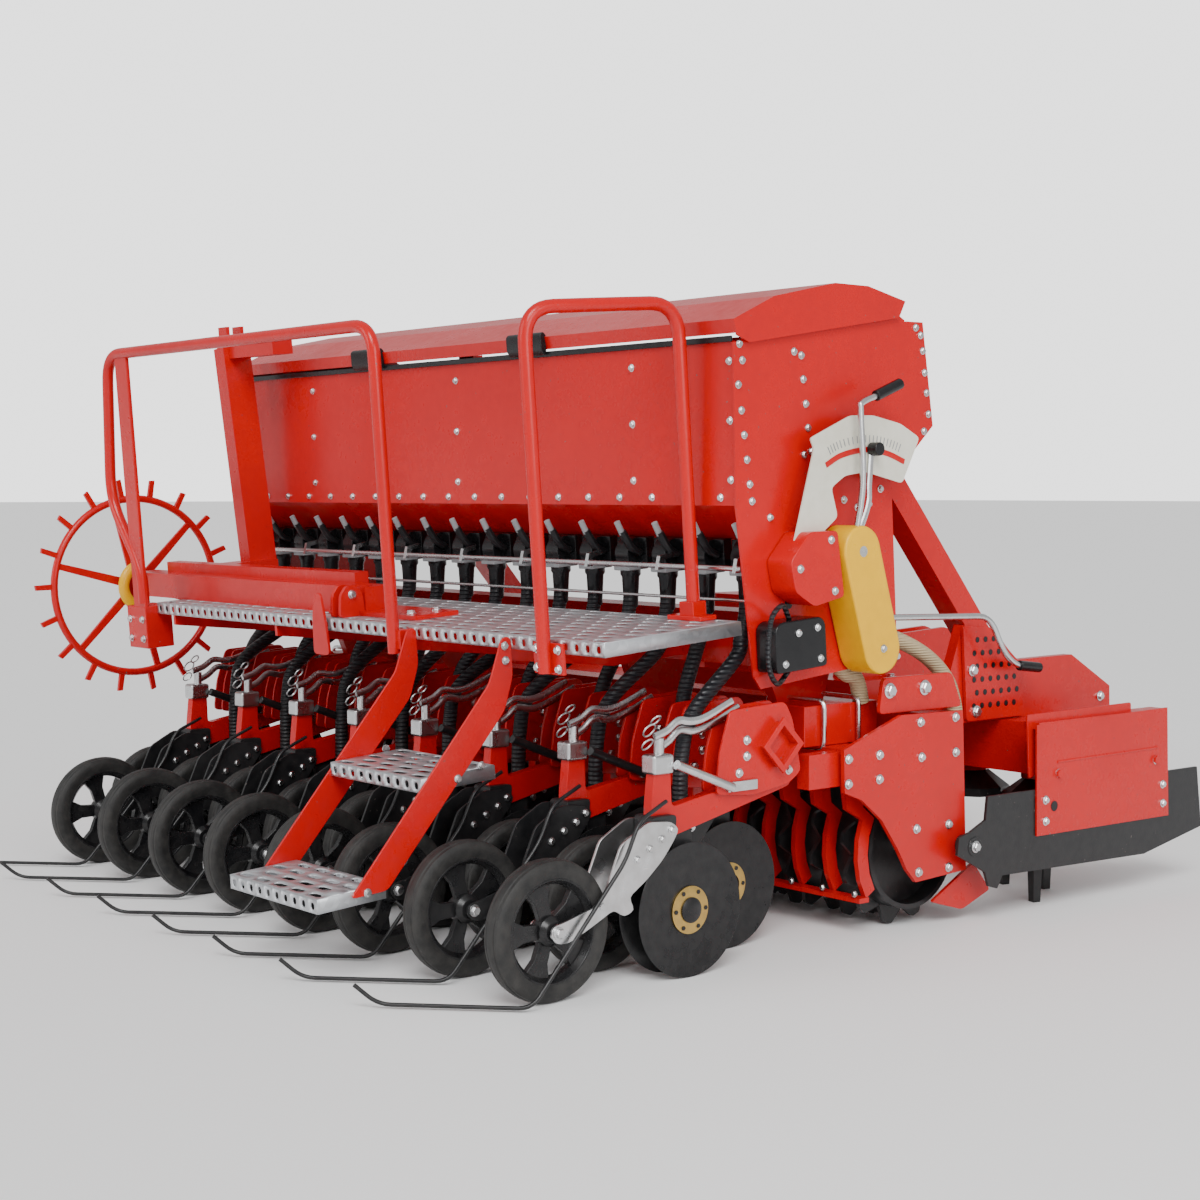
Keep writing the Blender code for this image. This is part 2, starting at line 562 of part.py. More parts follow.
def harrow_beam():
    """The gear trough, the rotor bearings under it, and the side shields."""
    half = 1.245
    trough = box("harrow_beam", (-half, 1.62, 0.36), (half, 1.90, 0.50), MACHINE, RED)
    pieces = []
    for i in range(ROTORS):
        x = (i - (ROTORS - 1) / 2) * ROTOR_PITCH
        pieces.append(rod(f"bearing_{i}", (x, ROTOR_Y, 0.3305), (x, ROTOR_Y, 0.40), 0.055, MACHINE, None, 8))
    shield = [(1.53, 0.508), (2.117, 0.515), (2.129, 0.206), (1.535, 0.211)]
    for side in (-1, 1):
        pieces.append(side_plate(f"shield_{side}", shield, side * SHIELD_X, 0.005, MACHINE))
        for y in (1.623, 2.062):
            pieces.append(rod(f"shield_bolt_{side}_{y}", (side * 1.285, y, 0.371), (side * 1.2965, y, 0.371), 0.012,
                              MACHINE, None, 6))
        pieces.append(box(f"shield_top_{side}", (side * 1.26 - 0.027, 1.54, 0.495), (side * 1.26 + 0.027, 2.11, 0.513),
                          MACHINE))
    union(trough, pieces + headstock())


def deflector(side):
    """The black earth board that swings on the side plate's bolt."""
    name = "deflector_right" if side > 0 else "deflector_left"
    outline = [(1.338, 0.336), (2.274, 0.332), (2.299, 0.157), (2.022, 0.107), (1.40, 0.122), (1.38, 0.09),
               (1.345, 0.10), (1.329, 0.14), (1.22, 0.195), (1.225, 0.24), (1.27, 0.25), (1.33, 0.275)]
    side_plate(name, outline, side * (SHIELD_X - 0.0068), 0.008, MACHINE, BLACK)


def headstock():
    """Pieces of the three-point tower, welded on the trough: gearbox, drive stub, mast and link plates."""
    pieces = [box("tower_foot", (-0.52, 1.64, 0.49), (0.52, 1.88, 0.56), MACHINE)]
    mast = [(1.66, 0.55), (1.72, 0.55), (2.02, 1.12), (2.02, 1.20), (1.95, 1.20)]
    hitch = [(1.70, 0.51), (2.10, 0.50), (2.25, 0.58), (2.25, 0.66), (2.12, 0.70), (1.75, 0.68)]
    for side in (-1, 1):
        pieces.append(side_plate(f"mast_{side}", mast, side * 0.045, 0.015, MACHINE))
        for x in (0.375, 0.455):
            pieces.append(side_plate(f"hitch_{side}_{x}", hitch, side * x, 0.015, MACHINE))
    pieces.append(box("mast_foot", (-0.06, 1.655, 0.55), (0.06, 1.71, 0.60), MACHINE))
    pieces.append(box("gearbox", (-0.15, 1.66, 0.55), (0.15, 1.86, 0.80), MACHINE))
    pieces.append(rod("drive_stub", (0.0, 1.80, 0.70), (0.0, 1.98, 0.70), 0.0175, MACHINE, None, 12))
    return pieces


def build():
    coulter_frame()
    for number, x, offset in row_places():
        press_wheel(number, x, offset)
        disc_pair(number, x, offset)
    hopper()
    hopper_lid()
    drill_frame()
    metering_row()
    walkway()
    loading_steps()
    handrail_right()
    handrail_left()
    wheel_carrier()
    star_wheel()
    drive_side()
    packer_roller()
    roller_frame()
    scraper_row()
    harrow_beam()
    for i in range(ROTORS):
        x = (i - (ROTORS - 1) / 2) * ROTOR_PITCH
        harrow_rotor(i + 1, x, math.radians(30 + 90 * (i % 2)))
    deflector(1)
    deflector(-1)
    add_joins()


clear_scene()
MODEL_COLL = collection(MODEL)
CUTTER_COLL = collection(CUTTERS)
RED = material("red_paint", (0.62, 0.02, 0.015), 0.35)
BLACK = material("black_steel", (0.02, 0.02, 0.022), 0.5)
RUBBER = material("black_rubber", (0.025, 0.025, 0.028), 0.8)
STEEL = material("bright_steel", (0.45, 0.45, 0.46), 0.35, 1.0)
ZINC = material("galvanised", (0.7, 0.72, 0.74), 0.45, 0.9)
YELLOW = material("yellow_guard", (0.9, 0.75, 0.02), 0.4)
MACHINE = empty("machine_frame", Matrix.Translation(MACHINE_SHIFT))
TILT = empty("drill_tilt", tilt_matrix(), MACHINE)
build()
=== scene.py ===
"""Looks of a mounted seed drill standing on a power harrow with a packer roller.

Machine coordinates: x to the machine's right, y forward, z up. The drill half, from the walkway to the seed box,
leans back by 4.3 degrees on the harrow, and its pieces are written upright and then leaned.
"""

import math

import bmesh
import bpy
import numpy as np
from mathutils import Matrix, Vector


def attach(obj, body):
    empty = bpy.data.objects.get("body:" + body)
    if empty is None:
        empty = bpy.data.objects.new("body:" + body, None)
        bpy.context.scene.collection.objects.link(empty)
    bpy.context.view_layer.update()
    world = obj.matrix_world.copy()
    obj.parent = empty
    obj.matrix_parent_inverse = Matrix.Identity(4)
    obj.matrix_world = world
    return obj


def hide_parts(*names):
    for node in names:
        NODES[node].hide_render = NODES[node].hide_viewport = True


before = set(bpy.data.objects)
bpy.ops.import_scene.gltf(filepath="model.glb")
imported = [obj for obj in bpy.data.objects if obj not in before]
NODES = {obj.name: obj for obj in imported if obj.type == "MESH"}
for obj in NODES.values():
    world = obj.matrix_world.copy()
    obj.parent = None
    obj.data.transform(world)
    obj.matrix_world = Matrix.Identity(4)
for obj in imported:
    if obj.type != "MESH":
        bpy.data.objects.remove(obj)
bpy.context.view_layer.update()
SHIFT = np.array([0.05675, -0.955, 0.0])
LEAN = math.radians(4.3)
PIVOT = np.array([0.345, 0.797])

# ---------------------------------------------------------------- finishes
# Every piece carries one of these: baked red paint, satin black paint, moulded plastic, rubber, bare steel, zinc and
# galvanised sheet. Colour and sheen vary in clouds, with fine dust gathered near the ground and small worn spots.


class Flow:
    """A shader value; arithmetic on it adds Math nodes to the material being made."""
    tree = None

    def __init__(self, socket):
        self.socket = socket

    @staticmethod
    def node(kind, settings=(), sockets=(), output=0):
        """Adds one node: settings are set first, then its sockets, by number or name, get values or links."""
        made = Flow.tree.nodes.new(kind)
        for name, value in dict(settings).items():
            setattr(made, name, value)
        for key, value in dict(sockets).items():
            if isinstance(value, Flow):
                Flow.tree.links.new(value.socket, made.inputs[key])
            else:
                made.inputs[key].default_value = value
        return Flow(made.outputs[output])

    def maths(self, operation, *others):
        return Flow.node("ShaderNodeMath", {"operation": operation}, dict(enumerate((self, *others))))

    def __add__(self, other):
        return self.maths("ADD", other)

    def __sub__(self, other):
        return self.maths("SUBTRACT", other)

    def __mul__(self, other):
        return self.maths("MULTIPLY", other)

    def __rsub__(self, other):
        return Flow.node("ShaderNodeMath", {"operation": "SUBTRACT"}, {0: other, 1: self})

    __radd__, __rmul__ = __add__, __mul__

    def ramp(self, low, high):
        """Zero at low rising to one at high."""
        return Flow.node("ShaderNodeMapRange", {}, {0: self, 1: low, 2: high, 3: 0.0, 4: 1.0})

    def between(self, first, second):
        """The first colour where the value is zero, the second where it is one."""
        ends = [value if isinstance(value, Flow) else (*value, 1.0) for value in (first, second)]
        settings = {"data_type": "RGBA"}
        return Flow.node("ShaderNodeMix", settings, {0: self, 6: ends[0], 7: ends[1]}, 2)


def place():
    return Flow.node("ShaderNodeTexCoord", output="Object")


def cloud(scale, detail=3.0, where=None):
    return Flow.node("ShaderNodeTexNoise", {}, {"Vector": where or place(), "Scale": scale, "Detail": detail})


def finish(name, colour, worn, rough, metallic=0.0, coat=0.0, dust=0.07, grain=(220.0, 0.08), chips=0.0,
           spangle=0.0, ribs=None, base=(0.12, 0.10, 0.09)):
    """A procedural material: colour drifts to worn in clouds, dust fades upward, grain or ribs raise the surface."""
    material = bpy.data.materials.new(name)
    material.use_nodes = True
    Flow.tree = material.node_tree
    shader = Flow.tree.nodes["Principled BSDF"]
    broad, fine = cloud(2.3), cloud(38.0, 5.0)
    drift = (broad * 0.65 + fine * 0.35).ramp(0.38, 0.66)
    tone = drift.between(colour, worn)
    height = Flow.node("ShaderNodeSeparateXYZ", {}, {0: place()}, 2)
    soil = (1.0 - height.ramp(0.0, 0.75)) * fine.ramp(0.36, 0.7) * dust
    tone = soil.between(tone, (0.36, 0.32, 0.27))
    sheen = rough + (drift - 0.5) * 0.16 * (1.0 - metallic * 0.4) + soil * 0.5
    if chips:
        spots = cloud(95.0, 6.0).ramp(0.72 - chips, 0.74 - chips)
        tone = spots.between(tone, base)
        sheen = sheen + spots * 0.2
    if spangle:
        cells = Flow.node("ShaderNodeTexVoronoi", {}, {"Vector": place(), "Scale": 55.0}, 1)
        value = Flow.node("ShaderNodeSeparateXYZ", {}, {0: cells})
        tone = (value * spangle).between(tone, [part * 0.62 for part in colour])
        sheen = sheen + value * 0.14
    raised = cloud(grain[0], 4.0)
    depth = grain[1]
    if ribs:
        axis = Flow.node("ShaderNodeSeparateXYZ", {}, {0: place()}, 2)
        raised, depth = (axis * ribs).maths("SINE"), 0.5
    bump = Flow.node("ShaderNodeBump", {}, {"Strength": depth, "Distance": 0.004, "Height": raised})
    links = {"Base Color": tone, "Roughness": sheen, "Normal": bump}
    for socket, value in links.items():
        Flow.tree.links.new(value.socket, shader.inputs[socket])
    shader.inputs["Metallic"].default_value = metallic
    shader.inputs["Specular IOR Level"].default_value = 0.35
    shader.inputs["Coat Weight"].default_value = coat
    shader.inputs["Coat Roughness"].default_value = 0.12
    return material


RED = finish("red_paint", (0.56, 0.0015, 0.0025), (0.48, 0.001, 0.002), 0.30, coat=0.1, chips=0.01, dust=0.03)
BLACK = finish("black_paint", (0.008, 0.008, 0.009), (0.016, 0.016, 0.017), 0.38, coat=0.1, chips=0.01, dust=0.02)
# black_plastic also colours the flat black discs standing for hole insides on the end plates, shields and depth plates:
# painted shade there.
PLASTIC = finish("black_plastic", (0.006, 0.006, 0.007), (0.013, 0.013, 0.014), 0.26, grain=(480.0, 0.05), dust=0.02)
RUBBER = finish("tyre_rubber", (0.010, 0.010, 0.010), (0.028, 0.027, 0.026), 0.58, dust=0.035, grain=(160.0, 0.25))
HOSE = finish("black_hose", (0.009, 0.010, 0.013), (0.020, 0.020, 0.022), 0.40, ribs=560.0)
BEIGE = finish("beige_hose", (0.50, 0.40, 0.24), (0.36, 0.28, 0.16), 0.55, ribs=900.0)
DISC = finish("disc_steel", (0.012, 0.012, 0.013), (0.026, 0.026, 0.027), 0.28, metallic=0.4, dust=0.015)
STEEL = finish("bare_steel", (0.52, 0.52, 0.53), (0.38, 0.375, 0.37), 0.32, metallic=1.0)
ZINC = finish("zinc_plating", (0.70, 0.71, 0.72), (0.52, 0.52, 0.52), 0.28, metallic=1.0)
SHEET = finish("galvanised_sheet", (0.68, 0.70, 0.73), (0.52, 0.54, 0.56), 0.38, metallic=0.9, spangle=0.55)
GOLD = finish("gold_zinc", (0.68, 0.46, 0.14), (0.48, 0.32, 0.10), 0.30, metallic=1.0)
GREY = finish("grey_plastic", (0.30, 0.31, 0.32), (0.22, 0.23, 0.24), 0.5)
CREAM = finish("cream_plate", (0.74, 0.72, 0.62), (0.62, 0.60, 0.50), 0.42)
YELLOW = finish("yellow_plastic", (0.84, 0.46, 0.0), (0.74, 0.39, 0.0), 0.34)


# ---------------------------------------------------------------- press wheels
# Sixteen press wheels run behind the seed discs: a solid rubber tyre on a glossy moulded rim with five open windows,
# and a plain hub cap over the bearing. Each one turns on a bolt between its fork's two plates.


def facets(rows, columns, wrap=True):
    """Quads of a grid of corners: each corner, the next in its row, and the two below them, rows closed into rings."""
    number = np.arange(rows * columns).reshape(rows, columns)
    ahead, below = np.roll(number, -1, 1), np.roll(number, -1, 0)
    quads = np.stack([number, ahead, np.roll(below, -1, 1), below], -1)
    return (quads if wrap else quads[:-1]).reshape(-1, 4)


def gather(*shapes):
    """One shape from several: each later one's face numbers rise by the count of corners before it."""
    corners, faces, count = [], [], 0
    for points, groups in shapes:
        corners.append(points)
        faces += [group + count for group in groups]
        count += len(points)
    return np.concatenate(corners), faces


def copies(shape, places):
    """The shape at each place: its corners plus each offset in turn."""
    points, groups = shape
    places = np.asarray(places, float).reshape(-1, 3)
    rise = np.arange(len(places))[:, None, None] * len(points)
    corners = (points[None] + places[:, None]).reshape(-1, 3)
    return corners, [(group[None] + rise).reshape(-1, group.shape[1]) for group in groups]


def turned(profile, steps=48, ring=True, first=0.0):
    """A profile of (radius, along) turned about x: (along, radius cos a, radius sin a) at equal angles a."""
    radius, along = np.asarray(profile, float).T
    angle = first + np.arange(steps) * 2 * math.pi / steps
    corners = np.stack([np.broadcast_to(along[:, None], (len(along), steps)), np.outer(radius, np.cos(angle)),
                        np.outer(radius, np.sin(angle))], -1).reshape(-1, 3)
    faces = [facets(len(profile), steps, ring)]
    if not ring:
        last = np.arange(steps) + (len(profile) - 1) * steps
        faces.append(np.stack([np.arange(steps)[::-1], last]))
    return corners, faces


def plate(outline, thickness, middle=0.0):
    """An outline of (y, z) as a flat plate of that thickness, its middle at x."""
    flat = np.asarray(outline, float)
    count = len(flat)
    sides = [np.full(count, middle + half * thickness / 2) for half in (-1, 1)]
    corners = np.concatenate([np.column_stack([side, flat]) for side in sides])
    return corners, [facets(2, count, False), np.stack([np.arange(count)[::-1], np.arange(count) + count])]


def spun(shape, count, first=0.0):
    """The shape repeated about x at equal angles: y and z turned by each angle."""
    points, groups = shape
    angle = first + np.arange(count) * 2 * math.pi / count
    cos, sin = np.cos(angle)[:, None], np.sin(angle)[:, None]
    y, z = points[:, 1], points[:, 2]
    corners = np.stack([np.broadcast_to(points[:, 0], (count, len(points))), y * cos - z * sin, y * sin + z * cos], -1)
    rise = np.arange(count)[:, None, None] * len(points)
    return corners.reshape(-1, 3), [(group[None] + rise).reshape(-1, group.shape[1]) for group in groups]


def stand(shape):
    """Machine coordinates moved into the shared frame."""
    return shape[0] + SHIFT, shape[1]


def upright(points):
    """Machine (y, z) pairs written in the drill's own upright coordinates: turned back by the lean."""
    cos, sin = math.cos(LEAN), math.sin(LEAN)
    y, z = (np.asarray(points, float) - PIVOT).T
    return np.column_stack([y * cos + z * sin, z * cos - y * sin]) + PIVOT


def lean(shape):
    """Upright coordinates turned back by the lean about the pivot line, then moved into the shared frame."""
    points = shape[0].copy()
    cos, sin = math.cos(LEAN), math.sin(LEAN)
    y, z = points[:, 1] - PIVOT[0], points[:, 2] - PIVOT[1]
    points[:, 1], points[:, 2] = y * cos - z * sin + PIVOT[0], y * sin + z * cos + PIVOT[1]
    return points + SHIFT, shape[1]


def fit(name, shape, coating, body="frame", instead_of=(), bevel=0.0, smooth=35, weld=0.0, thick=0.0):
    """Makes the piece, with faces outward and sharp edges kept past the smooth angle, and fastens it to its body."""
    points, groups = shape
    mesh = bpy.data.meshes.new(name)
    mesh.from_pydata(points.tolist(), [], [face for group in groups for face in group.tolist()])
    work = bmesh.new()
    work.from_mesh(mesh)
    if weld:
        bmesh.ops.remove_doubles(work, verts=work.verts, dist=weld)
    bmesh.ops.recalc_face_normals(work, faces=work.faces)
    work.to_mesh(mesh)
    work.free()
    mesh.shade_smooth()
    mesh.set_sharp_from_angle(angle=math.radians(smooth))
    mesh.materials.append(coating)
    piece = bpy.data.objects.new(name, mesh)
    bpy.context.scene.collection.objects.link(piece)
    if thick:
        solid = piece.modifiers.new("sheet", "SOLIDIFY")
        solid.thickness = thick
        solid.offset = 0.0
    if bevel:
        edge = piece.modifiers.new("edges", "BEVEL")
        edge.width = bevel
        edge.segments = 2
        edge.limit_method = "ANGLE"
        edge.angle_limit = math.radians(40)
        edge.harden_normals = True
    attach(piece, body)
    if instead_of:
        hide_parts(*([instead_of] if isinstance(instead_of, str) else instead_of))
    return piece


ROW_PITCH, FRONT_ROW = 0.15625, 0.27
WHEEL_Y, WHEEL_Z = -0.03, 0.16
ROWS = [(ROW_PITCH * (i - 7.5), 0.0 if i % 2 else FRONT_ROW, f"{i + 1:02d}") for i in range(16)]
TYRE = turned([(0.118, -0.023), (0.127, -0.0265), (0.140, -0.0275), (0.150, -0.0262), (0.1565, -0.0215),
               (0.158, -0.015), (0.1562, -0.0125), (0.1587, -0.0105), (0.16, -0.004), (0.16, 0.004),
               (0.1587, 0.0105), (0.1562, 0.0125), (0.158, 0.015), (0.1565, 0.0215), (0.150, 0.0262),
               (0.140, 0.0275), (0.127, 0.0265), (0.118, 0.023)], 64)
RIM = gather(
    turned([(0.1195, -0.0235), (0.1195, 0.0235), (0.114, 0.0242), (0.104, 0.010), (0.104, -0.010),
            (0.114, -0.0242)], 64),
    spun(plate([(-0.017, 0.024), (0.017, 0.024), (0.019, 0.07), (0.036, 0.106), (-0.036, 0.106), (-0.019, 0.07)],
               0.016), 5, 0.3),
    turned([(0.012, -0.028), (0.024, -0.027), (0.034, -0.016), (0.036, 0.0), (0.034, 0.016), (0.024, 0.027),
            (0.012, 0.028)], 36, False))
for x, back, number in ROWS:
    hub = [x, back + WHEEL_Y, WHEEL_Z]
    fit(f"tyre_{number}", stand(copies(TYRE, hub)), RUBBER, f"wheel_{number}", smooth=40)
    fit(f"rim_{number}", stand(copies(RIM, hub)), PLASTIC, f"wheel_{number}", f"press_wheel_{number}", 0.0015)
    axle = turned([(0.012, -0.0385), (0.012, 0.0385)], 20, False)
    fit(f"wheel_pin_{number}", stand(copies(axle, hub)), STEEL, f"wheel_{number}")

# ---------------------------------------------------------------- seed discs
# Two blackened steel discs run side by side in front of each press wheel. A gold plated flange holds each disc on its
# bearing with six screws, and a black cap keeps the soil out.
DISC_Y, DISC_Z = 0.365, 0.158
SIDE_DISC = [(0.020, 0.0262), (0.120, 0.0290), (0.1570, 0.0338), (0.158, 0.0345), (0.1570, 0.0354), (0.118, 0.0322),
             (0.020, 0.0300)]
FLANGE = [(0.020, 0.0295), (0.056, 0.0300), (0.056, 0.0352), (0.042, 0.0372), (0.036, 0.0372)]
CAP = [(0.030, 0.0360), (0.030, 0.0405), (0.022, 0.0445), (0.008, 0.0460)]


def both(profile, steps=56, ring=True):
    """A turned profile and its mirror image across x = 0."""
    return gather(turned(profile, steps, ring), turned([(r, -a) for r, a in profile], steps, ring))


SCREW = turned([(0.0055, -0.0385), (0.0055, 0.0385)], 6, False)
for x, back, number in ROWS:
    hub = [x, DISC_Y + back, DISC_Z]
    body = f"disc_{number}"
    fit(f"discs_{number}", stand(copies(both(SIDE_DISC, 72), hub)), DISC, body, f"disc_pair_{number}")
    fit(f"disc_flanges_{number}", stand(copies(both(FLANGE, 40, False), hub)), GOLD, body)
    ring = spun((SCREW[0] + [0.0, 0.046, 0.0], SCREW[1]), 6)
    fit(f"disc_caps_{number}", stand(copies(gather(both(CAP, 32, False), ring), hub)), PLASTIC, body)

# ---------------------------------------------------------------- coulter bar, arms and forks
# The diamond tube carries sixteen pressed arms on clamps. Each arm ends in a knuckle with a two-plate fork round its
# press wheel and a leg between the discs; on the rear row it also has adjusting levers and a sprung covering tine
# of bent wire.


def swept(path, radius, sides=12, closed=False, flat=1.0):
    """A round bar along a path: rings of corners square to it, built on the normal of the path's best plane."""
    path = np.asarray(path, float)
    if closed:
        along = np.roll(path, -1, 0) - np.roll(path, 1, 0)
    else:
        along = np.gradient(path, axis=0)
    along /= np.linalg.norm(along, axis=1)[:, None]
    across = np.linalg.svd(path - path.mean(0))[2][2]
    out = np.cross(along, across)
    out /= np.linalg.norm(out, axis=1)[:, None]
    level = np.cross(out, along)
    angle = np.arange(sides) * 2 * math.pi / sides + math.pi / sides
    ring = out[:, None] * np.cos(angle)[:, None] + level[:, None] * np.sin(angle)[:, None] * flat
    corners = path[:, None] + ring * np.broadcast_to(radius, (len(path),))[:, None, None]
    faces = [facets(len(path), sides, closed)]
    if not closed:
        faces.append(np.stack([np.arange(sides)[::-1], np.arange(sides) + (len(path) - 1) * sides]))
    return corners.reshape(-1, 3), faces


def eased(points, count=6):
    """A smooth curve through the points: a cubic between neighbours whose slopes span their two neighbours."""
    points = np.asarray(points, float)
    padded = np.concatenate([2 * points[:1] - points[1:2], points, 2 * points[-1:] - points[-2:-1]])
    t = np.linspace(0, 1, count, endpoint=False)[:, None]
    parts = [a * (2 * t**2 - t - t**3) / 2 + b * (2 - 5 * t**2 + 3 * t**3) / 2 + c * (t + 4 * t**2 - 3 * t**3) / 2
             + d * (t**3 - t**2) / 2 for a, b, c, d in zip(padded, padded[1:], padded[2:], padded[3:])]
    return np.concatenate(parts + [points[-1:]])


def rounded(points, radius, steps=5, closed=False):
    """The points with each corner cut back by radius and replaced by a quadratic curve."""
    points = np.asarray(points, float)
    t = np.linspace(0, 1, steps)[:, None]
    path = [] if closed else [points[:1]]
    for i in range(0 if closed else 1, len(points) if closed else len(points) - 1):
        here, before, after = points[i], points[i - 1], points[(i + 1) % len(points)]
        cuts = [min(radius, np.linalg.norm(other - here) * 0.45) for other in (before, after)]
        start = here + (before - here) / np.linalg.norm(before - here) * cuts[0]
        end = here + (after - here) / np.linalg.norm(after - here) * cuts[1]
        path.append(start * (1 - t) ** 2 + here * 2 * t * (1 - t) + end * t**2)
    return np.concatenate(path if closed else path + [points[-1:]])


def block(low, high):
    """A box between two opposite corners."""
    low, high = np.asarray(low, float), np.asarray(high, float)
    return plate([(low[1], low[2]), (high[1], low[2]), (high[1], high[2]), (low[1], high[2])], high[0] - low[0],
                 (low[0] + high[0]) / 2)


def aimed(shape, out):
    """The shape with its x axis turned to face out."""
    out = np.asarray(out, float) / np.linalg.norm(out)
    side = np.cross(out, [0.0, 0.0, 1.0] if abs(out[2]) < 0.9 else [0.0, 1.0, 0.0])
    side /= np.linalg.norm(side)
    return shape[0] @ np.stack([out, side, np.cross(out, side)]), shape[1]


def bolts(places, out=(1, 0, 0), size=0.011):
    """Hexagon heads on round washers, facing out, at each place."""
    washer = turned([(size * 1.05, -0.001), (size * 1.05, size * 0.16), (size * 0.95, size * 0.2)], 16, False)
    head = turned([(size * 0.8, 0.0), (size * 0.8, size * 0.62), (size * 0.68, size * 0.75)], 6, False)
    return copies(aimed(gather(washer, head), out), places)


def rod(start, end, radius, sides=16):
    start, end = np.asarray(start, float), np.asarray(end, float)
    length = np.linalg.norm(end - start)
    bar = turned([(radius, 0.0), (radius, length)], sides, False, math.pi / 4 if sides == 4 else 0.0)
    return copies(aimed(bar, end - start), [start])


BAR = (0.65, 0.52)
FORK_FACE = 0.0413
bar = turned([(0.0566, -1.22), (0.0566, 1.22), (0.047, 1.22), (0.047, -1.22)], 4)
collar = turned([(0.068, -0.004), (0.068, 0.004), (0.047, 0.004), (0.047, -0.004)], 4)
fit("coulter_bar", stand(copies(bar, [0.0, *BAR])), RED, instead_of="coulter_frame", bevel=0.003)
end_frame = copies(collar, [(side * 1.2225, *BAR) for side in (-1, 1)])
arms, knees, forks, silver, levers, tines, heads, caps = ([] for _ in range(8))
LEVERS = [(0.014, [(0.272, 0.566), (0.310, 0.578), (0.345, 0.598), (0.385, 0.594), (0.430, 0.600), (0.515, 0.632)]),
          (-0.014, [(0.300, 0.530), (0.340, 0.548), (0.375, 0.572), (0.420, 0.566), (0.470, 0.576), (0.563, 0.612)])]
FORK = [(0.150, 0.335), (0.230, 0.378), (0.300, 0.372), (0.325, 0.353), (0.305, 0.322), (0.272, 0.284), (0.225, 0.245),
        (0.174, 0.213), (0.190, 0.182), (0.160, 0.170), (0.128, 0.190), (0.060, 0.158), (0.000, 0.134),
        (-0.035, 0.135), (-0.052, 0.155), (-0.045, 0.176), (-0.011, 0.182), (0.078, 0.205), (0.105, 0.235),
        (0.118, 0.263), (0.130, 0.290)]
for x, back, number in ROWS:
    rear = back == 0.0
    arm = [(0.263 + back, 0.33), (0.325 + back, 0.33), (0.71, 0.415 + 0.1 * back), (0.71, 0.465 + 0.1 * back),
           (0.325 + back, 0.40), (0.321 + back, 0.50), (0.273 + back, 0.50), (0.263 + back, 0.40)]
    arms.append(plate(rounded(arm, 0.014, 4, True), 0.03, x))
    clamp = [(0.453, 0.416), (0.464, 0.512), (0.497, 0.612), (0.679, 0.622), (0.705, 0.577), (0.735, 0.449),
             (0.693, 0.422), (0.575, 0.405)]
    arms += [plate(rounded(clamp, 0.016, 4, True), 0.008, x + side * 0.024) for side in (-1, 1)]
    arms.append(block((x - 0.021, 0.59, 0.596), (x + 0.021, 0.67, 0.612)))
    knees.append(plate(rounded([(0.25 + back, 0.325), (0.32 + back, 0.325), (0.325 + back, 0.385),
                                (0.25 + back, 0.385)], 0.012, 4, True), 0.066, x))
    outline = rounded([(y + back, z) for y, z in FORK], 0.012, 3, True)
    pair = [plate(outline, 0.007, x + side * 0.0378) for side in (-1, 1)]
    (silver if number == "16" else forks).extend(pair)
    leg = [(0.335 + back, 0.335), (0.395 + back, 0.345), (0.392 + back, 0.135), (0.365 + back, 0.12),
           (0.345 + back, 0.14)]
    knees.append(plate(rounded(leg, 0.012, 3, True), 0.014, x))
    for side in (-1, 1):
        spots = [(0.301, 0.353), (0.272, 0.334), (0.235, 0.316), (0.197, 0.295), (0.090, 0.204)]
        heads.append(bolts([(x + side * FORK_FACE, y + back, z) for y, z in spots], (side, 0, 0), 0.0095))
        heads.append(bolts([(x + side * FORK_FACE, back + WHEEL_Y, WHEEL_Z)], (side, 0, 0), 0.014))
        heads.append(bolts([(x + side * 0.028, y, z) for y, z in [(0.550, 0.538), (0.550, 0.500), (0.525, 0.462),
                                                                 (0.69, 0.455)]], (side, 0, 0), 0.011))
    caps.append(block((x - 0.024, 0.263 + back, 0.478), (x + 0.024, 0.326 + back, 0.524)))
    if rear:
        for shift, path in LEVERS:
            levers.append(swept(eased([(x + shift, y, z) for y, z in path]), 0.0095, 10, flat=0.6))
        levers.append(rod((x, 0.298, 0.505), (x, 0.298, 0.560), 0.012))
        for y, z, wide in ((0.268, 0.580, 0.015), (0.262, 0.548, 0.013), (0.288, 0.602, 0.011)):
            turn = np.arange(20) * math.pi / 10
            loop = np.column_stack([x + 0.012 * np.sin(turn), y + wide * np.cos(turn), z + wide * np.sin(turn)])
            levers.append(swept(loop, 0.0022, 6, True))
        damper = rod((x + 0.034, 0.322, 0.500), (x + 0.034, 0.500, 0.430), 0.0115)
        (silver if number == "16" else knees).append(damper)
        silver.append(block((x + 0.026, 0.485, 0.420), (x + 0.036, 0.580, 0.444)))
        tines.append(swept(rounded([(x + 0.04, 0.285, 0.42), (x + 0.055, 0.19, 0.385), (x + 0.055, 0.15, 0.30),
                                    (x + 0.055, -0.115, 0.010), (x - 0.19, -0.35, 0.010),
                                    (x - 0.215, -0.395, 0.055)], 0.03, 6), 0.0048, 10))
fit("coulter_arms", stand(gather(end_frame, *arms)), RED, bevel=0.0025)
fit("coulter_knees", stand(gather(*knees)), BLACK, bevel=0.002)
fit("press_forks", stand(gather(*forks)), BLACK, bevel=0.0012)
fit("end_press_fork", stand(gather(*silver)), ZINC, bevel=0.0012)
fit("coulter_levers", stand(gather(*levers)), ZINC)
fit("post_caps", stand(gather(*caps)), ZINC, bevel=0.007)
fit("covering_tines", stand(gather(*tines)), BLACK, smooth=60)
fit("coulter_bolts", stand(gather(*heads)), ZINC)

# ---------------------------------------------------------------- seed box and lid
# The folded sheet seed box is bolted together from wide panels between two end plates, painted red inside and out.
# A black seal runs under the lid, which is pulled shut by two moulded latches.


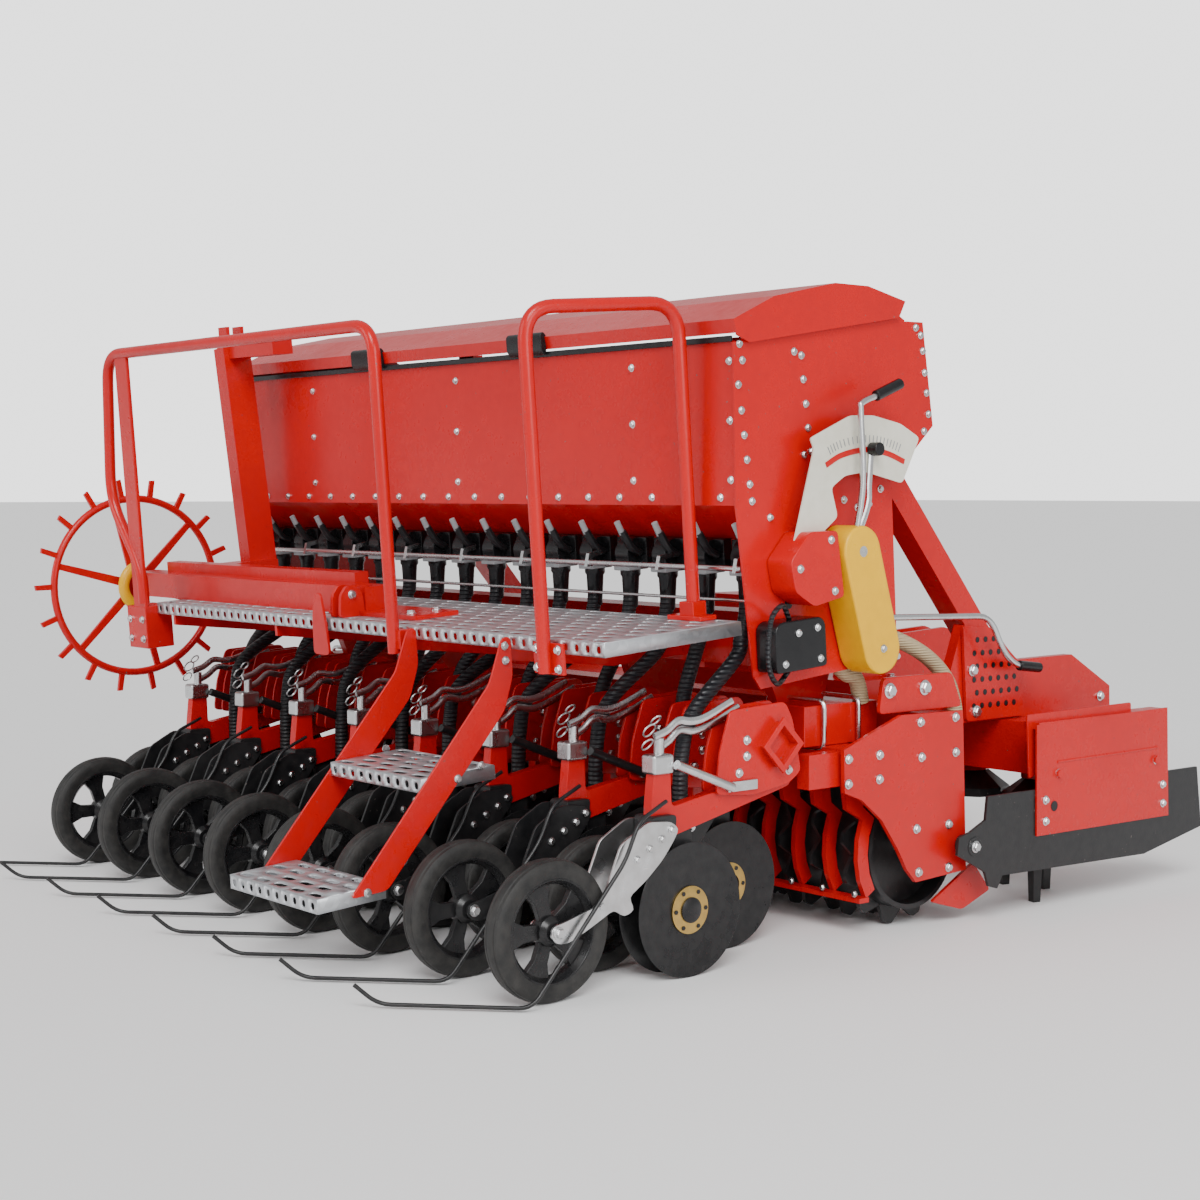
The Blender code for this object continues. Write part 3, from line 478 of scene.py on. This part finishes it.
def recoat(node, coating):
    """The CAD node is shown as it is, with this finish."""
    piece = NODES[node]
    piece.data.materials.clear()
    piece.data.materials.append(coating)
    for polygon in piece.data.polygons:
        polygon.material_index = 0


for node in ("hopper", "hopper_lid", "drill_frame"):
    recoat(node, RED)
END_FACE = 1.1503
END_BOLTS = [(0.618, 1.457), (0.608, 1.361), (0.614, 1.300), (0.619, 1.241), (0.624, 1.182), (0.629, 1.123),
             (0.634, 1.082), (0.625, 1.418), (0.692, 1.038), (0.749, 0.990), (0.800, 1.433), (0.824, 1.423),
             (0.827, 1.365), (0.832, 1.305), (0.836, 1.246), (0.818, 1.182), (0.843, 1.188), (0.850, 1.158),
             (1.245, 1.480), (1.262, 1.460), (1.268, 1.420), (1.272, 1.364), (1.276, 1.312), (1.280, 1.257),
             (1.260, 1.214), (1.086, 1.078), (0.951, 1.061), (1.041, 1.043), (0.998, 1.038)]
panel = [(x, 0.589 + (z - 1.094) * 0.0487, z) for x in (-0.742, 0.015, 0.772, 1.128) for z in (1.418, 1.277, 1.136)]
panel += [(x, 0.5885, 1.094) for x in np.arange(-1.03, 1.1, 0.1248)]
front = [(x, 1.2705 + (1.487 - z) * 0.088, z) for x in (-1.02, -0.51, 0.0, 0.51, 1.02) for z in (1.26, 1.36, 1.455)]
box_bolts = [bolts([(side * END_FACE, y, z) for y, z in END_BOLTS], (side, 0, 0), 0.0095) for side in (-1, 1)]
box_bolts.append(bolts(panel, (0, -1, 0), 0.0095))
box_bolts.append(bolts(front, (0, 1, 0.088), 0.0095))
fit("seed_box_bolts", lean(gather(*box_bolts)), ZINC)
fit("seed_box_seal", lean(block((-1.142, 0.5985, 1.463), (1.142, 0.606, 1.4775))), PLASTIC, bevel=0.002)
ends = [(side * END_FACE, 0.714, 0.906) for side in (-1, 1)]
cheek = [(0.605, 1.452), (0.625, 1.470), (1.172, 1.520), (1.205, 1.500), (1.205, 1.470)]
fit("end_plate_lips", lean(gather(*[plate(cheek, 0.005, side * 1.1472) for side in (-1, 1)])), RED)
fit("end_plate_bolts", lean(gather(*[bolts([p], (np.sign(p[0]), 0, 0), 0.02) for p in ends])), ZINC)
# Black discs flush on the end plates are painted shade: they stand for the dark insides of the two end plate holes.
eyes = [copies(turned([(0.013, -0.001), (0.013, 0.0012)], 24, False), [(side * 1.15, 0.740, 0.823)])
        for side in (-1, 1)]
fit("end_plate_hole_shade", lean(gather(*eyes)), PLASTIC)
latch = plate(rounded([(0.5985, 1.470), (0.590, 1.468), (0.580, 1.485), (0.5795, 1.522), (0.590, 1.530),
                       (0.600, 1.520)], 0.005, 4, True), 0.15)
latches = gather(copies(latch, [(x, 0, 0) for x in (-0.402, 0.365)]))
fit("lid_latches", lean(latches), PLASTIC, "lid", bevel=0.002)

# ---------------------------------------------------------------- metering units and seed tubes
# Sixteen moulded metering units hang in a row under the box, each with a shutter lever, a feed gate and a nozzle.
# A bright shaft runs past them on hooked brackets, and a ribbed black tube drops from every nozzle to its coulter.
SPOUTS = [x * 0.93 for x, _, _ in ROWS]
units, gates, shutters, tips, nozzles, tubes = ([] for _ in range(6))
for (x, back, number), spout in zip(ROWS, SPOUTS):
    units.append(block((spout - 0.058, 0.672, 0.905), (spout + 0.058, 0.835, 0.9843)))
    units.append(plate(rounded([(0.640, 0.905), (0.700, 0.900), (0.700, 0.984), (0.655, 0.984), (0.633, 0.95)],
                               0.01, 3, True), 0.052, spout))
    gates.append(block((spout - 0.030, 0.632, 0.900), (spout + 0.030, 0.700, 0.912)))
    shutters.append(swept(eased([(spout + 0.034, 0.668, 0.945), (spout + 0.034, 0.640, 0.962),
                                 (spout + 0.034, 0.612, 1.005)]), 0.010, 8, flat=1.5))
    tips.append(rod((spout + 0.034, 0.614, 0.998), (spout + 0.034, 0.598, 1.030), 0.0085, 10))
    low = turned([(0.027, 0.0), (0.027, 0.014), (0.023, 0.020), (0.0195, 0.085), (0.0185, 0.10)], 20, False)
    nozzles.append(copies(aimed(low, (0, -0.06, -1)), [(spout, 0.664, 0.902)]))
    beside = x - math.copysign(0.0435, x)
    bend = [(0.445, 0.605), (0.407, 0.505), (0.402, 0.335)] if back == 0 else [(0.552, 0.61), (0.548, 0.46),
                                                                              (0.61, 0.335)]
    route = [(spout, 0.660, 0.85), (spout, 0.652, 0.80), (spout, 0.632, 0.745), (spout, 0.61, 0.70)]
    route += [(beside, *pair) for pair in upright(bend)]
    tubes.append(swept(eased(route, 8), 0.0185, 16))
fit("metering_channel", lean(block((-1.13, 0.70, 0.93), (1.13, 0.833, 0.9843))), RED, instead_of="metering_row",
    bevel=0.003)
fit("metering_units", lean(gather(*units)), PLASTIC, bevel=0.002)
fit("feed_gates", lean(gather(*gates)), GREY, bevel=0.002)
fit("shutter_levers", lean(gather(*shutters)), BLACK)
fit("shutter_tips", lean(gather(*tips)), GREY)
fit("seed_nozzles", lean(gather(*nozzles)), PLASTIC)
fit("seed_tubes", lean(gather(*tubes)), HOSE, smooth=60)
hangers = []
for x in np.arange(-1.12, 1.13, 0.28):
    hook = [(0.590, 0.912), (0.610, 0.912), (0.612, 0.935), (0.645, 0.940), (0.645, 0.952), (0.600, 0.946)]
    hangers.append(plate(hook, 0.012, x))
shafts = gather(rod((-1.14, 0.600, 0.922), (1.14, 0.600, 0.922), 0.0068),
                rod((-1.13, 0.620, 0.842), (1.13, 0.620, 0.842), 0.004), *hangers)
fit("metering_shafts", lean(shafts), ZINC)

# ---------------------------------------------------------------- walkway and loading steps
# Galvanised plank grating behind the box and on two treads, folded down at the edges and punched with staggered
# slots; two bent flat strips, painted red, carry the treads, and red lugs stand on the walkway.


def slotted(low, high, columns, rows, slot):
    """A sheet in (a, b) with staggered slots: every cell is eight outer points round an eight-point slot."""
    (a0, b0), (a1, b1) = low, high
    wide, deep = (a1 - a0) / columns, (b1 - b0) / rows
    rim = np.array([(-1, -1), (0, -1), (1, -1), (1, 0), (1, 1), (0, 1), (-1, 1), (-1, 0)]) * (wide / 2, deep / 2)
    hole = np.array([(-1, -0.45), (-0.62, -1), (0.62, -1), (1, -0.45), (1, 0.45), (0.62, 1), (-0.62, 1), (-1, 0.45)])
    hole = hole * (slot[0] / 2, slot[1] / 2)
    hole = np.roll(hole, -1, 0)[[7, 0, 1, 2, 3, 4, 5, 6]]
    ring = np.stack([np.arange(8), np.roll(np.arange(8), -1), np.roll(np.arange(8), -1) + 8, np.arange(8) + 8], -1)
    cells, ends = [], []
    for row in range(rows):
        shift = wide / 2 if row % 2 else 0.0
        middle = b0 + deep * (row + 0.5)
        cells += [(a0 + wide * (i + 0.5) + shift, middle) for i in range(columns - (row % 2))]
        if row % 2:
            ends += [(a0 + wide / 4, middle), (a1 - wide / 4, middle)]
    cells = np.array(cells)
    unit = np.concatenate([rim, hole])
    flat = (unit[None] + cells[:, None]).reshape(-1, 2)
    rise = np.arange(len(cells))[:, None, None] * 16
    faces = [(ring[None] + rise).reshape(-1, 4)]
    if ends:
        half = rim * (0.5, 1.0)
        base = len(flat)
        flat = np.concatenate([flat, (half[None] + np.array(ends)[:, None]).reshape(-1, 2)])
        faces.append(base + np.arange(8)[None] + np.arange(len(ends))[:, None] * 8)
    return flat, faces


def tray(low, high, columns, rows, slot, drop):
    """A slotted top with its four sides folded down by drop; the front and rear sides are slotted too."""
    (x0, y0, z0), (x1, y1, _) = low, high
    flat, faces = slotted((x0, y0), (x1, y1), columns, rows, slot)
    parts = [(np.column_stack([flat, np.full(len(flat), z0)]), faces)]
    for y in (y0, y1):
        flat, faces = slotted((x0, z0 - drop), (x1, z0), columns * 2, 1, (slot[0] * 0.3, drop * 0.5))
        parts.append((np.column_stack([flat[:, 0], np.full(len(flat), y), flat[:, 1]]), faces))
    for x in (x0, x1):
        side = np.array([(x, y0, z0), (x, y1, z0), (x, y1, z0 - drop), (x, y0, z0 - drop)])
        parts.append((side, [np.array([[0, 1, 2, 3]])]))
    return gather(*parts)


fit("walkway_grating", lean(tray((-0.9985, 0.1530, 0.7985), (1.1485, 0.5785, 0), 27, 9, (0.052, 0.022), 0.0335)), SHEET,
    instead_of="walkway", weld=0.0004, thick=0.003)
low_tread = tray((0.4055, -0.4285, 0.2705), (0.7945, -0.2465, 0), 5, 4, (0.052, 0.022), 0.033)
high_tread = tray((0.4055, -0.1285, 0.4935), (0.7945, 0.0835, 0), 5, 5, (0.052, 0.022), 0.033)
fit("step_treads", lean(gather(low_tread, high_tread)), SHEET, instead_of="loading_steps", weld=0.0004, thick=0.003)
STRIP = [(-0.345, 0.256), (-0.245, 0.256), (0.120, 0.62), (0.1507, 0.70), (0.1507, 0.795), (0.125, 0.795),
         (0.08, 0.69)]
strips = gather(*[plate(rounded(STRIP, 0.015, 4, True), 0.006, x) for x in (0.401, 0.799)])
fit("step_strips", lean(strips), RED, bevel=0.001)
step_bolts = [bolts([(x, y, z) for y, z in [(-0.30, 0.262), (-0.03, 0.48), (0.04, 0.50), (0.13, 0.74), (0.13, 0.775)]],
                    (side, 0, 0), 0.010) for x, side in ((0.398, -1), (0.803, 1))]
lug = [(0.16, 0.80), (0.24, 0.80), (0.235, 0.86), (0.215, 0.885), (0.185, 0.885), (0.165, 0.86)]
tab = plate(rounded([(-0.075, 0.70), (0.005, 0.70), (-0.01, 0.80), (-0.024, 0.868), (-0.054, 0.868), (-0.07, 0.80)],
                    0.018, 5, True), 0.008, 0.140)
tab = (tab[0][:, [1, 0, 2]], tab[1])
lugs = gather(plate(rounded(lug, 0.01, 3, True), 0.012, 0.03), copies(plate(rounded(lug, 0.01, 3, True), 0.012, 0.03),
                                                                     [(-0.04, 0.0, 0.0)]), tab)
fit("walkway_lugs", lean(lugs), RED, bevel=0.001)
fit("step_bolts", lean(gather(*step_bolts, bolts([(0.037, 0.20, 0.86)], (1, 0, 0), 0.012))), ZINC)

# ---------------------------------------------------------------- handrails
# Two bent round tubes painted red: a low hoop at the walkway's right end and a long rail across its rear, with
# welded feet and plates.
RIGHT_RAIL = [(0.955, 0.13, 0.72), (0.955, 0.13, 1.565), (0.99, 0.30, 1.565), (1.01, 0.555, 1.565),
              (1.01, 0.555, 0.81)]
LEFT_RAIL = [(0.345, 0.12, 0.73), (0.345, 0.12, 1.565), (-1.135, 0.12, 1.565), (-1.19, 0.12, 1.12),
             (-1.02, 0.12, 0.90), (-1.02, 0.12, 0.80)]
rails = [swept(rounded(path, 0.085, 10), 0.0168, 20) for path in (RIGHT_RAIL, LEFT_RAIL)]
fit("handrail_tubes", lean(gather(*rails)), RED, instead_of=("handrail_right", "handrail_left"), smooth=60)
feet = gather(block((0.95, 0.52, 0.8003), (1.07, 0.575, 0.812)), block((0.985, 0.53, 0.81), (1.035, 0.575, 0.845)),
              block((0.90, 0.1405, 0.715), (1.01, 0.1507, 0.79)), block((-1.075, 0.112, 0.66), (-1.0, 0.124, 1.56)),
              block((-1.12, 0.11, 0.66), (-1.0003, 0.20, 0.79)), block((0.315, 0.1195, 0.74), (0.375, 0.1507, 0.79)))
fit("handrail_feet", lean(feet), RED, bevel=0.0025)
spots = [(0.915, 0.1400, 0.73), (0.915, 0.1400, 0.775), (0.995, 0.1400, 0.73), (0.995, 0.1400, 0.775),
         (-1.10, 0.1095, 0.69), (-1.10, 0.1095, 0.75), (-1.02, 0.1095, 0.69), (-1.02, 0.1095, 0.75)]
fit("handrail_bolts", lean(bolts(spots, (0, -1, 0), 0.011)), ZINC)

# ---------------------------------------------------------------- land wheel and its carrier
# A spiked land wheel swings at the left and drives the metering: a rolled hoop with eighteen pins, six flat spokes
# and a bushed hub, carried on a welded tube frame.
AXLE = (-1.39, 0.28, 0.825)
angle = np.arange(72) * 2 * math.pi / 72
hoop = swept(np.column_stack([np.zeros(72), 0.283 * np.cos(angle), 0.283 * np.sin(angle)]), 0.0118, 14, True)
spikes = spun(plate([(-0.011, 0.274), (0.007, 0.274), (0.002, 0.349), (-0.014, 0.345)], 0.012), 18, 0.08)
spokes = spun(plate([(-0.014, 0.036), (0.014, 0.036), (0.010, 0.278), (-0.010, 0.278)], 0.010), 6, 0.2)
hub = turned([(0.0165, -0.02), (0.045, -0.02), (0.045, 0.02), (0.0165, 0.02)], 40)
fit("land_wheel", lean(copies(gather(hoop, spikes, spokes, hub), [AXLE])), RED, "land_wheel", "star_wheel", 0.001)
recoat("wheel_carrier", RED)
carrier = [bolts([(-0.06, 0.25, 0.8122), (-0.06, 0.33, 0.8122), (0.24, 0.25, 0.8122), (0.24, 0.33, 0.8122)],
                 (0, 0, 1), 0.013),
           bolts([(-1.4022, 0.28, 0.825)], (-1, 0, 0), 0.0102)]
fit("carrier_bolts", lean(gather(*carrier)), ZINC)
crescent = [(-1.340, 0.28 + 0.068 * math.cos(a), 0.825 + 0.068 * math.sin(a)) for a in np.linspace(1.5, 4.9, 20)]
fit("axle_guard", lean(swept(crescent, 0.018, 12, flat=0.8)), YELLOW)

# ---------------------------------------------------------------- metering drive
# The right end carries the metering drive: a yellow chain guard, a gearbox with a swing lever over a slotted scale
# plate, and a crank for the calibration test, with a black motor cover behind the end plate.
scale = [(0.788, 1.222), (0.934, 1.270), (1.015, 1.266), (1.115, 1.240), (1.184, 1.201), (1.112, 1.090),
         (0.981, 1.128), (0.906, 1.124), (0.855, 1.098), (0.873, 1.025), (0.789, 0.974), (0.728, 0.921),
         (0.713, 0.939), (0.716, 0.972), (0.802, 1.198)]
fit("scale_plate", lean(plate(rounded(scale, 0.012, 4, True), 0.004, 1.20)), CREAM, instead_of="drive_side")
arc = eased([(1.2028, 0.839, 1.154), (1.2028, 0.897, 1.175), (1.2028, 0.984, 1.183), (1.2028, 1.059, 1.169),
             (1.2028, 1.122, 1.144)])
ticks = [rod((1.2026, y, z), (1.2026, y + (y - 0.97) * 0.08, z + 0.018), 0.0012, 6) for _, y, z in arc[2:-2] +
         np.array([0, 0, 0.018])]
fit("scale_slot", lean(swept(arc, 0.0075, 8, flat=0.15)), RED)
fit("scale_marks", lean(gather(*ticks)), GREY)
box_outline = [(0.671, 0.935), (0.684, 0.859), (0.744, 0.819), (0.849, 0.832), (0.836, 0.995), (0.74, 1.0)]
guard = [(0.912 + 0.064 * math.cos(a), 0.937 + 0.064 * math.sin(a)) for a in np.radians(np.linspace(195, 15, 15))]
guard += [(0.968 + 0.064 * math.cos(a), 0.690 + 0.064 * math.sin(a)) for a in np.radians(np.linspace(15, -165, 15))]
fit("drive_box", lean(plate(rounded(box_outline, 0.012, 4, True), 0.085, 1.1935)), RED, bevel=0.003)
fit("chain_guard", lean(plate(guard, 0.095, 1.1985)), YELLOW, bevel=0.008)
cover = rounded([(0.622, 0.669), (0.622, 0.775), (0.640, 0.791), (0.780, 0.791), (0.794, 0.775), (0.794, 0.669)],
                0.012, 4, True)
fit("drive_cover", lean(plate(cover, 0.070, 1.1865)), PLASTIC, bevel=0.004)
lever = [(1.207, 1.00, 1.19), (1.207, 0.985, 1.10), (1.207, 0.975, 1.04), (1.207, 0.912, 0.937)]
crank = [(1.2165, 0.905, 0.937), (1.2315, 0.935, 1.10), (1.2315, 0.939, 1.272), (1.2315, 0.945, 1.299),
         (1.2315, 1.000, 1.315)]
fit("drive_levers", lean(gather(swept(eased(lever), 0.009, 10, flat=0.6), swept(eased(crank), 0.008, 12),
                                rod((1.155, 0.912, 0.937), (1.2465, 0.912, 0.937), 0.014))), ZINC)
fit("drive_grips", lean(gather(rod((1.2315, 0.995, 1.3135), (1.2315, 1.088, 1.341), 0.014),
                               rod((1.205, 1.00, 1.183), (1.236, 1.00, 1.183), 0.017, 20))), PLASTIC, bevel=0.003)
cable = [(1.19, 0.70, 0.792), (1.21, 0.66, 0.83), (1.225, 0.605, 0.80), (1.225, 0.590, 0.70), (1.21, 0.63, 0.645),
         (1.18, 0.70, 0.665)]
fit("drive_cable", lean(swept(eased(cable), 0.0065, 10)), HOSE)
drive_bolts = bolts([(1.2215, 0.699, 0.760), (1.2215, 0.764, 0.766), (1.2215, 0.65, 0.69), (1.2215, 0.77, 0.69)],
                    size=0.009)
box_heads = bolts([(1.236, 0.70, 0.915), (1.236, 0.815, 0.85), (1.236, 0.81, 0.975), (1.246, 0.968, 0.690)],
                  size=0.010)
fit("drive_bolts", lean(gather(drive_bolts, box_heads)), ZINC)

# ---------------------------------------------------------------- packer roller
# The packer is a rolled steel drum with twenty-one rows of welded teeth, open at the ends and turning on a shaft.
# Drum and teeth are painted black.
AXIS = (0.0, 1.18, 0.21)
RINGS, RING_PITCH = 21, 0.111
drum = turned([(0.165, -1.165), (0.165, 1.165), (0.152, 1.165), (0.152, 1.12), (0.022, 1.115), (0.022, -1.115),
               (0.152, -1.12), (0.152, -1.165)], 72)
tooth = plate([(-0.047, 0.160), (0.047, 0.160), (0.016, 0.2055), (0.010, 0.2088), (-0.010, 0.2088), (-0.016, 0.2055)],
              0.012)
rings = []
for i in range(RINGS):
    rings.append(copies(spun(tooth, 12, (i % 3) * math.pi / 18), [((i - 10) * RING_PITCH, 0, 0)]))
fit("packer_drum", stand(copies(gather(drum, *rings), [AXIS])), BLACK, "packer", "packer_roller")
ends = [rod((side * 1.10, 0, 0), (side * 1.215, 0, 0), 0.0198, 24) for side in (-1, 1)]
fit("packer_shaft", stand(copies(gather(*ends), [AXIS])), STEEL, "packer")

# ---------------------------------------------------------------- roller frame and scrapers
# Welded tubes and flame-cut side plates, painted red, hang the packer behind the harrow. Curved red scraper arms
# reach between the tooth rows, each bolted to the tube above and to a flat bar below.
recoat("roller_frame", RED)
recoat("scraper_row", RED)
SIDE_FACE = 1.2362
SIDE_BOLTS = [(0.861, 0.470), (0.973, 0.471), (1.130, 0.452), (1.262, 0.454), (1.125, 0.542), (1.260, 0.545),
              (0.861, 0.408), (0.973, 0.410), (1.113, 0.270), (1.237, 0.269), (1.122, 0.158), (1.238, 0.157)]
roller_bolts = [bolts([(side * SIDE_FACE, y, z) for y, z in SIDE_BOLTS], (side, 0, 0), 0.012) for side in (-1, 1)]
spots = [(x, y, z) for x in (np.arange(RINGS + 1) - RINGS / 2) * RING_PITCH for y, z in ((0.9045, 0.402), (0.962, 0.112))]
roller_bolts.append(bolts(spots, (0, -1, 0), 0.0085))
wedge = rounded([(1.211, 0.064), (1.376, 0.149), (1.445, 0.068), (1.331, 0.029)], 0.012, 4, True)
fit("roller_wedges", stand(gather(plate(wedge, 0.01, 1.2), plate(wedge, 0.01, -1.2))), RED, bevel=0.001)
fit("roller_bolts", stand(gather(*roller_bolts)), ZINC)

# ---------------------------------------------------------------- power harrow
# The gear trough of folded steel carries ten rotors with two bolted knives each, side shields, deflector plates at
# both ends and the three-point tower.
recoat("harrow_beam", RED)
for node in ("deflector_left", "deflector_right"):
    recoat(node, BLACK)
for number in range(1, 11):
    recoat(f"rotor_{number:02d}", BLACK)
SHIELD_FACE, PIVOT_FACE = 1.2877, 1.2844
SHIELD_BOLTS = [(1.623, 0.372), (2.062, 0.370), (1.569, 0.305), (1.570, 0.248), (2.097, 0.298), (2.099, 0.244)]
shield = [bolts([(side * SHIELD_FACE, y, z) for y, z in SHIELD_BOLTS], (side, 0, 0), 0.0115) for side in (-1, 1)]
shield += [bolts([(side * PIVOT_FACE, 1.287, 0.211)], (side, 0, 0), 0.015) for side in (-1, 1)]
pivots = [rod((side * 1.237, 1.287, 0.211), (side * PIVOT_FACE, 1.287, 0.211), 0.026, 24) for side in (-1, 1)]
fit("deflector_pivots", stand(gather(*pivots)), BLACK, bevel=0.002)
inner = rounded([(1.518, 0.534), (1.976, 0.537), (1.977, 0.502), (1.529, 0.363)], 0.006, 3, True)
fit("shield_gussets", stand(gather(*[plate(inner, 0.006, side * 1.262) for side in (-1, 1)])), RED, bevel=0.001)
crease = [rod((side * 1.2868, 1.619, 0.403), (side * 1.2868, 2.072, 0.405), 0.004, 8) for side in (-1, 1)]
fit("shield_creases", stand(gather(*crease)), RED)
fit("harrow_bolts", stand(gather(*shield)), ZINC)
# Black discs flush on the side shields are painted shade standing for the dark inside of each shield's hole.
port = [copies(turned([(0.014, -0.001), (0.014, 0.001)], 24, False), [(side * SHIELD_FACE, 1.607, 0.285)])
        for side in (-1, 1)]
fit("shield_hole_shade", stand(gather(*port)), PLASTIC)

# ---------------------------------------------------------------- depth plates, strut and hoses
# Beside each depth arm stands a thick plate drilled with a field of pin holes; by the right one are also a bright lever
# with a black grip and two ribbed hoses that hang from the drive to the roller frame. The drive stub stands on the
# tower's gearbox.
matrix = rounded([(1.454, 0.766), (1.579, 0.755), (1.71, 0.63), (1.712, 0.505), (1.472, 0.505)], 0.012, 4, True)
plates = [plate(matrix, 0.010, side * 1.093) for side in (-1, 1)]
fit("depth_plates", stand(gather(*plates)), RED, bevel=0.001)
# The field of black discs flush on each depth plate is painted shade standing for the dark insides of the pin holes.
field = [(1.50 + 0.034 * i + (0.012 if j % 2 else 0), 0.545 + 0.036 * j) for i in range(6) for j in range(6)
         if 1.50 + 0.034 * i + 1.05 * (0.036 * j + 0.545) < 2.33]
holes = [copies(turned([(0.008, -0.0006), (0.008, 0.0006)], 16, False), [(side * 1.0982, y, z) for y, z in field])
         for side in (-1, 1)]
fit("depth_hole_shade", stand(gather(*holes)), PLASTIC)
handle = [(1.15, 0.956, 0.809), (1.15, 1.500, 0.792), (1.15, 1.560, 0.690), (1.15, 1.610, 0.655), (1.15, 1.650, 0.650)]
fit("roller_lever", stand(swept(rounded(handle, 0.05, 8), 0.0085, 14)), ZINC)
fit("roller_lever_grip", stand(rod((1.15, 1.625, 0.6525), (1.15, 1.714, 0.642), 0.014, 20)), PLASTIC, bevel=0.003)
for side, name in ((1, "right"), (-1, "left")):
    beam = block((1.04 - 0.09, 0.815, 0.4905), (1.04 + 0.09, 1.08, 0.593))
    link = plate(rounded([(1.005, 0.566), (1.02, 0.658), (1.281, 0.658), (1.322, 0.566)], 0.015, 4, True), 0.014, 1.20)
    parts = [copies(shape, [((side - 1) * middle, 0, 0)]) for shape, middle in ((beam, 1.04), (link, 1.20))]
    fit(f"link_bracket_{name}", stand(gather(*parts)), RED, bevel=0.003)
    clip = [(0.940, 0.605), (1.140, 0.605), (1.140, 0.482), (0.940, 0.482)]
    clips = [swept(rounded([(side * x, y, z) for x, z in clip], 0.02, 5, True), 0.006, 10, True) for y in (0.875, 1.0)]
    clips.append(bolts([(side * 1.2072, y, 0.625) for y in (1.040, 1.172)], (side, 0, 0), 0.019))
    fit(f"link_clips_{name}", stand(gather(*clips)), ZINC)
long_hose = eased([(1.12, 1.04, 0.780), (1.12, 1.188, 0.735), (1.12, 1.288, 0.688), (1.12, 1.361, 0.626),
                   (1.12, 1.392, 0.556), (1.12, 1.395, 0.500)], 8)
short_hose = eased([(1.12, 0.930, 0.700), (1.12, 0.970, 0.668), (1.12, 1.010, 0.650), (1.12, 1.031, 0.590)], 8)
fit("dust_hoses", stand(gather(swept(long_hose, 0.021, 18), swept(short_hose, 0.021, 18))), BEIGE, smooth=60)
depth_bolts = [bolts([(side * 1.0985, y, z) for y, z in [(1.492, 0.643), (1.509, 0.530)]], (side, 0, 0), 0.016)
               for side in (-1, 1)]
tower = [(side * 0.4587, y, z) for side in (-1, 1) for y, z in ((1.70, 0.60), (1.80, 0.60), (1.90, 0.62))]
depth_bolts += [bolts([spot], (np.sign(spot[0]), 0, 0), 0.014) for spot in tower]
foot = [(x, y, 0.5605) for x in (-0.48, -0.25, 0.25, 0.48) for y in (1.665, 1.855)]
depth_bolts.append(bolts(foot, (0, 0, 1), 0.014))
spline = gather(turned([(0.0178, 0.0), (0.0178, 0.181), (0.0160, 0.184)], 24, False),
                spun(block((0.05, -0.0022, 0.0170), (0.180, 0.0022, 0.0196)), 6),
                turned([(0.052, 0.0), (0.052, 0.012), (0.040, 0.016), (0.030, 0.030)], 32, False))
fit("drive_spline", stand(copies(aimed(spline, (0, 1, 0)), [(0.0, 1.8003, 0.70)])), STEEL)
depth_bolts += [bolts([(side * 1.0855, 2.076, 0.535)], (side, 0, 0), 0.014) for side in (-1, 1)]
fit("depth_bolts", stand(gather(*depth_bolts)), ZINC)

# ---------------------------------------------------------------- stage
# A pale floor and a white surround, lit by two broad suns and a soft lamp at the side; the camera looks from the
# rear right at low eye height.
floor = bpy.data.meshes.new("floor")
floor.from_pydata([(-200, -200, 0), (200, -200, 0), (200, 200, 0), (-200, 200, 0)], [], [(0, 1, 2, 3)])
ground = bpy.data.materials.new("floor_paint")
ground.use_nodes = True
ground.node_tree.nodes["Principled BSDF"].inputs["Base Color"].default_value = (0.92, 0.92, 0.92, 1)
ground.node_tree.nodes["Principled BSDF"].inputs["Roughness"].default_value = 0.7
floor.materials.append(ground)
stage = bpy.data.objects.new("floor", floor)
bpy.context.scene.collection.objects.link(stage)
for name, kind, spot, power, width in (("key", "SUN", (3.5, -3.0, 5.0), 2.3, 0.5),
                                       ("front", "SUN", (-2.0, -5.0, 2.5), 0.8, 0.6),
                                       ("side", "AREA", (6.0, -1.5, 2.5), 120, 3.0)):
    lamp = bpy.data.lights.new(name, kind)
    lamp.energy = power
    if kind == "SUN":
        lamp.angle = width
    else:
        lamp.size = width
    holder = bpy.data.objects.new(name, lamp)
    holder.location = spot
    holder.rotation_euler = (Vector((0, 0, 0.7)) - Vector(spot)).to_track_quat("-Z", "Y").to_euler()
    bpy.context.scene.collection.objects.link(holder)
world = bpy.data.worlds.new("studio")
world.use_nodes = True
Flow.tree = world.node_tree
seen = Flow.node("ShaderNodeLightPath", output="Is Camera Ray")
sky = world.node_tree.nodes["Background"]
sky.inputs["Color"].default_value = (1.0, 1.0, 1.0, 1.0)
Flow.tree.links.new((seen * 1.7 + 0.6).socket, sky.inputs["Strength"])
bpy.context.scene.world = world
lens = bpy.data.cameras.new("camera")
lens.sensor_width = 36.0
lens.lens = 60.08
camera = bpy.data.objects.new("camera", lens)
camera.location = (4.66475, -3.687, 1.126)
camera.rotation_euler = (math.radians(86.90), 0.0, math.radians(50.29))
bpy.context.scene.collection.objects.link(camera)
bpy.context.scene.camera = camera
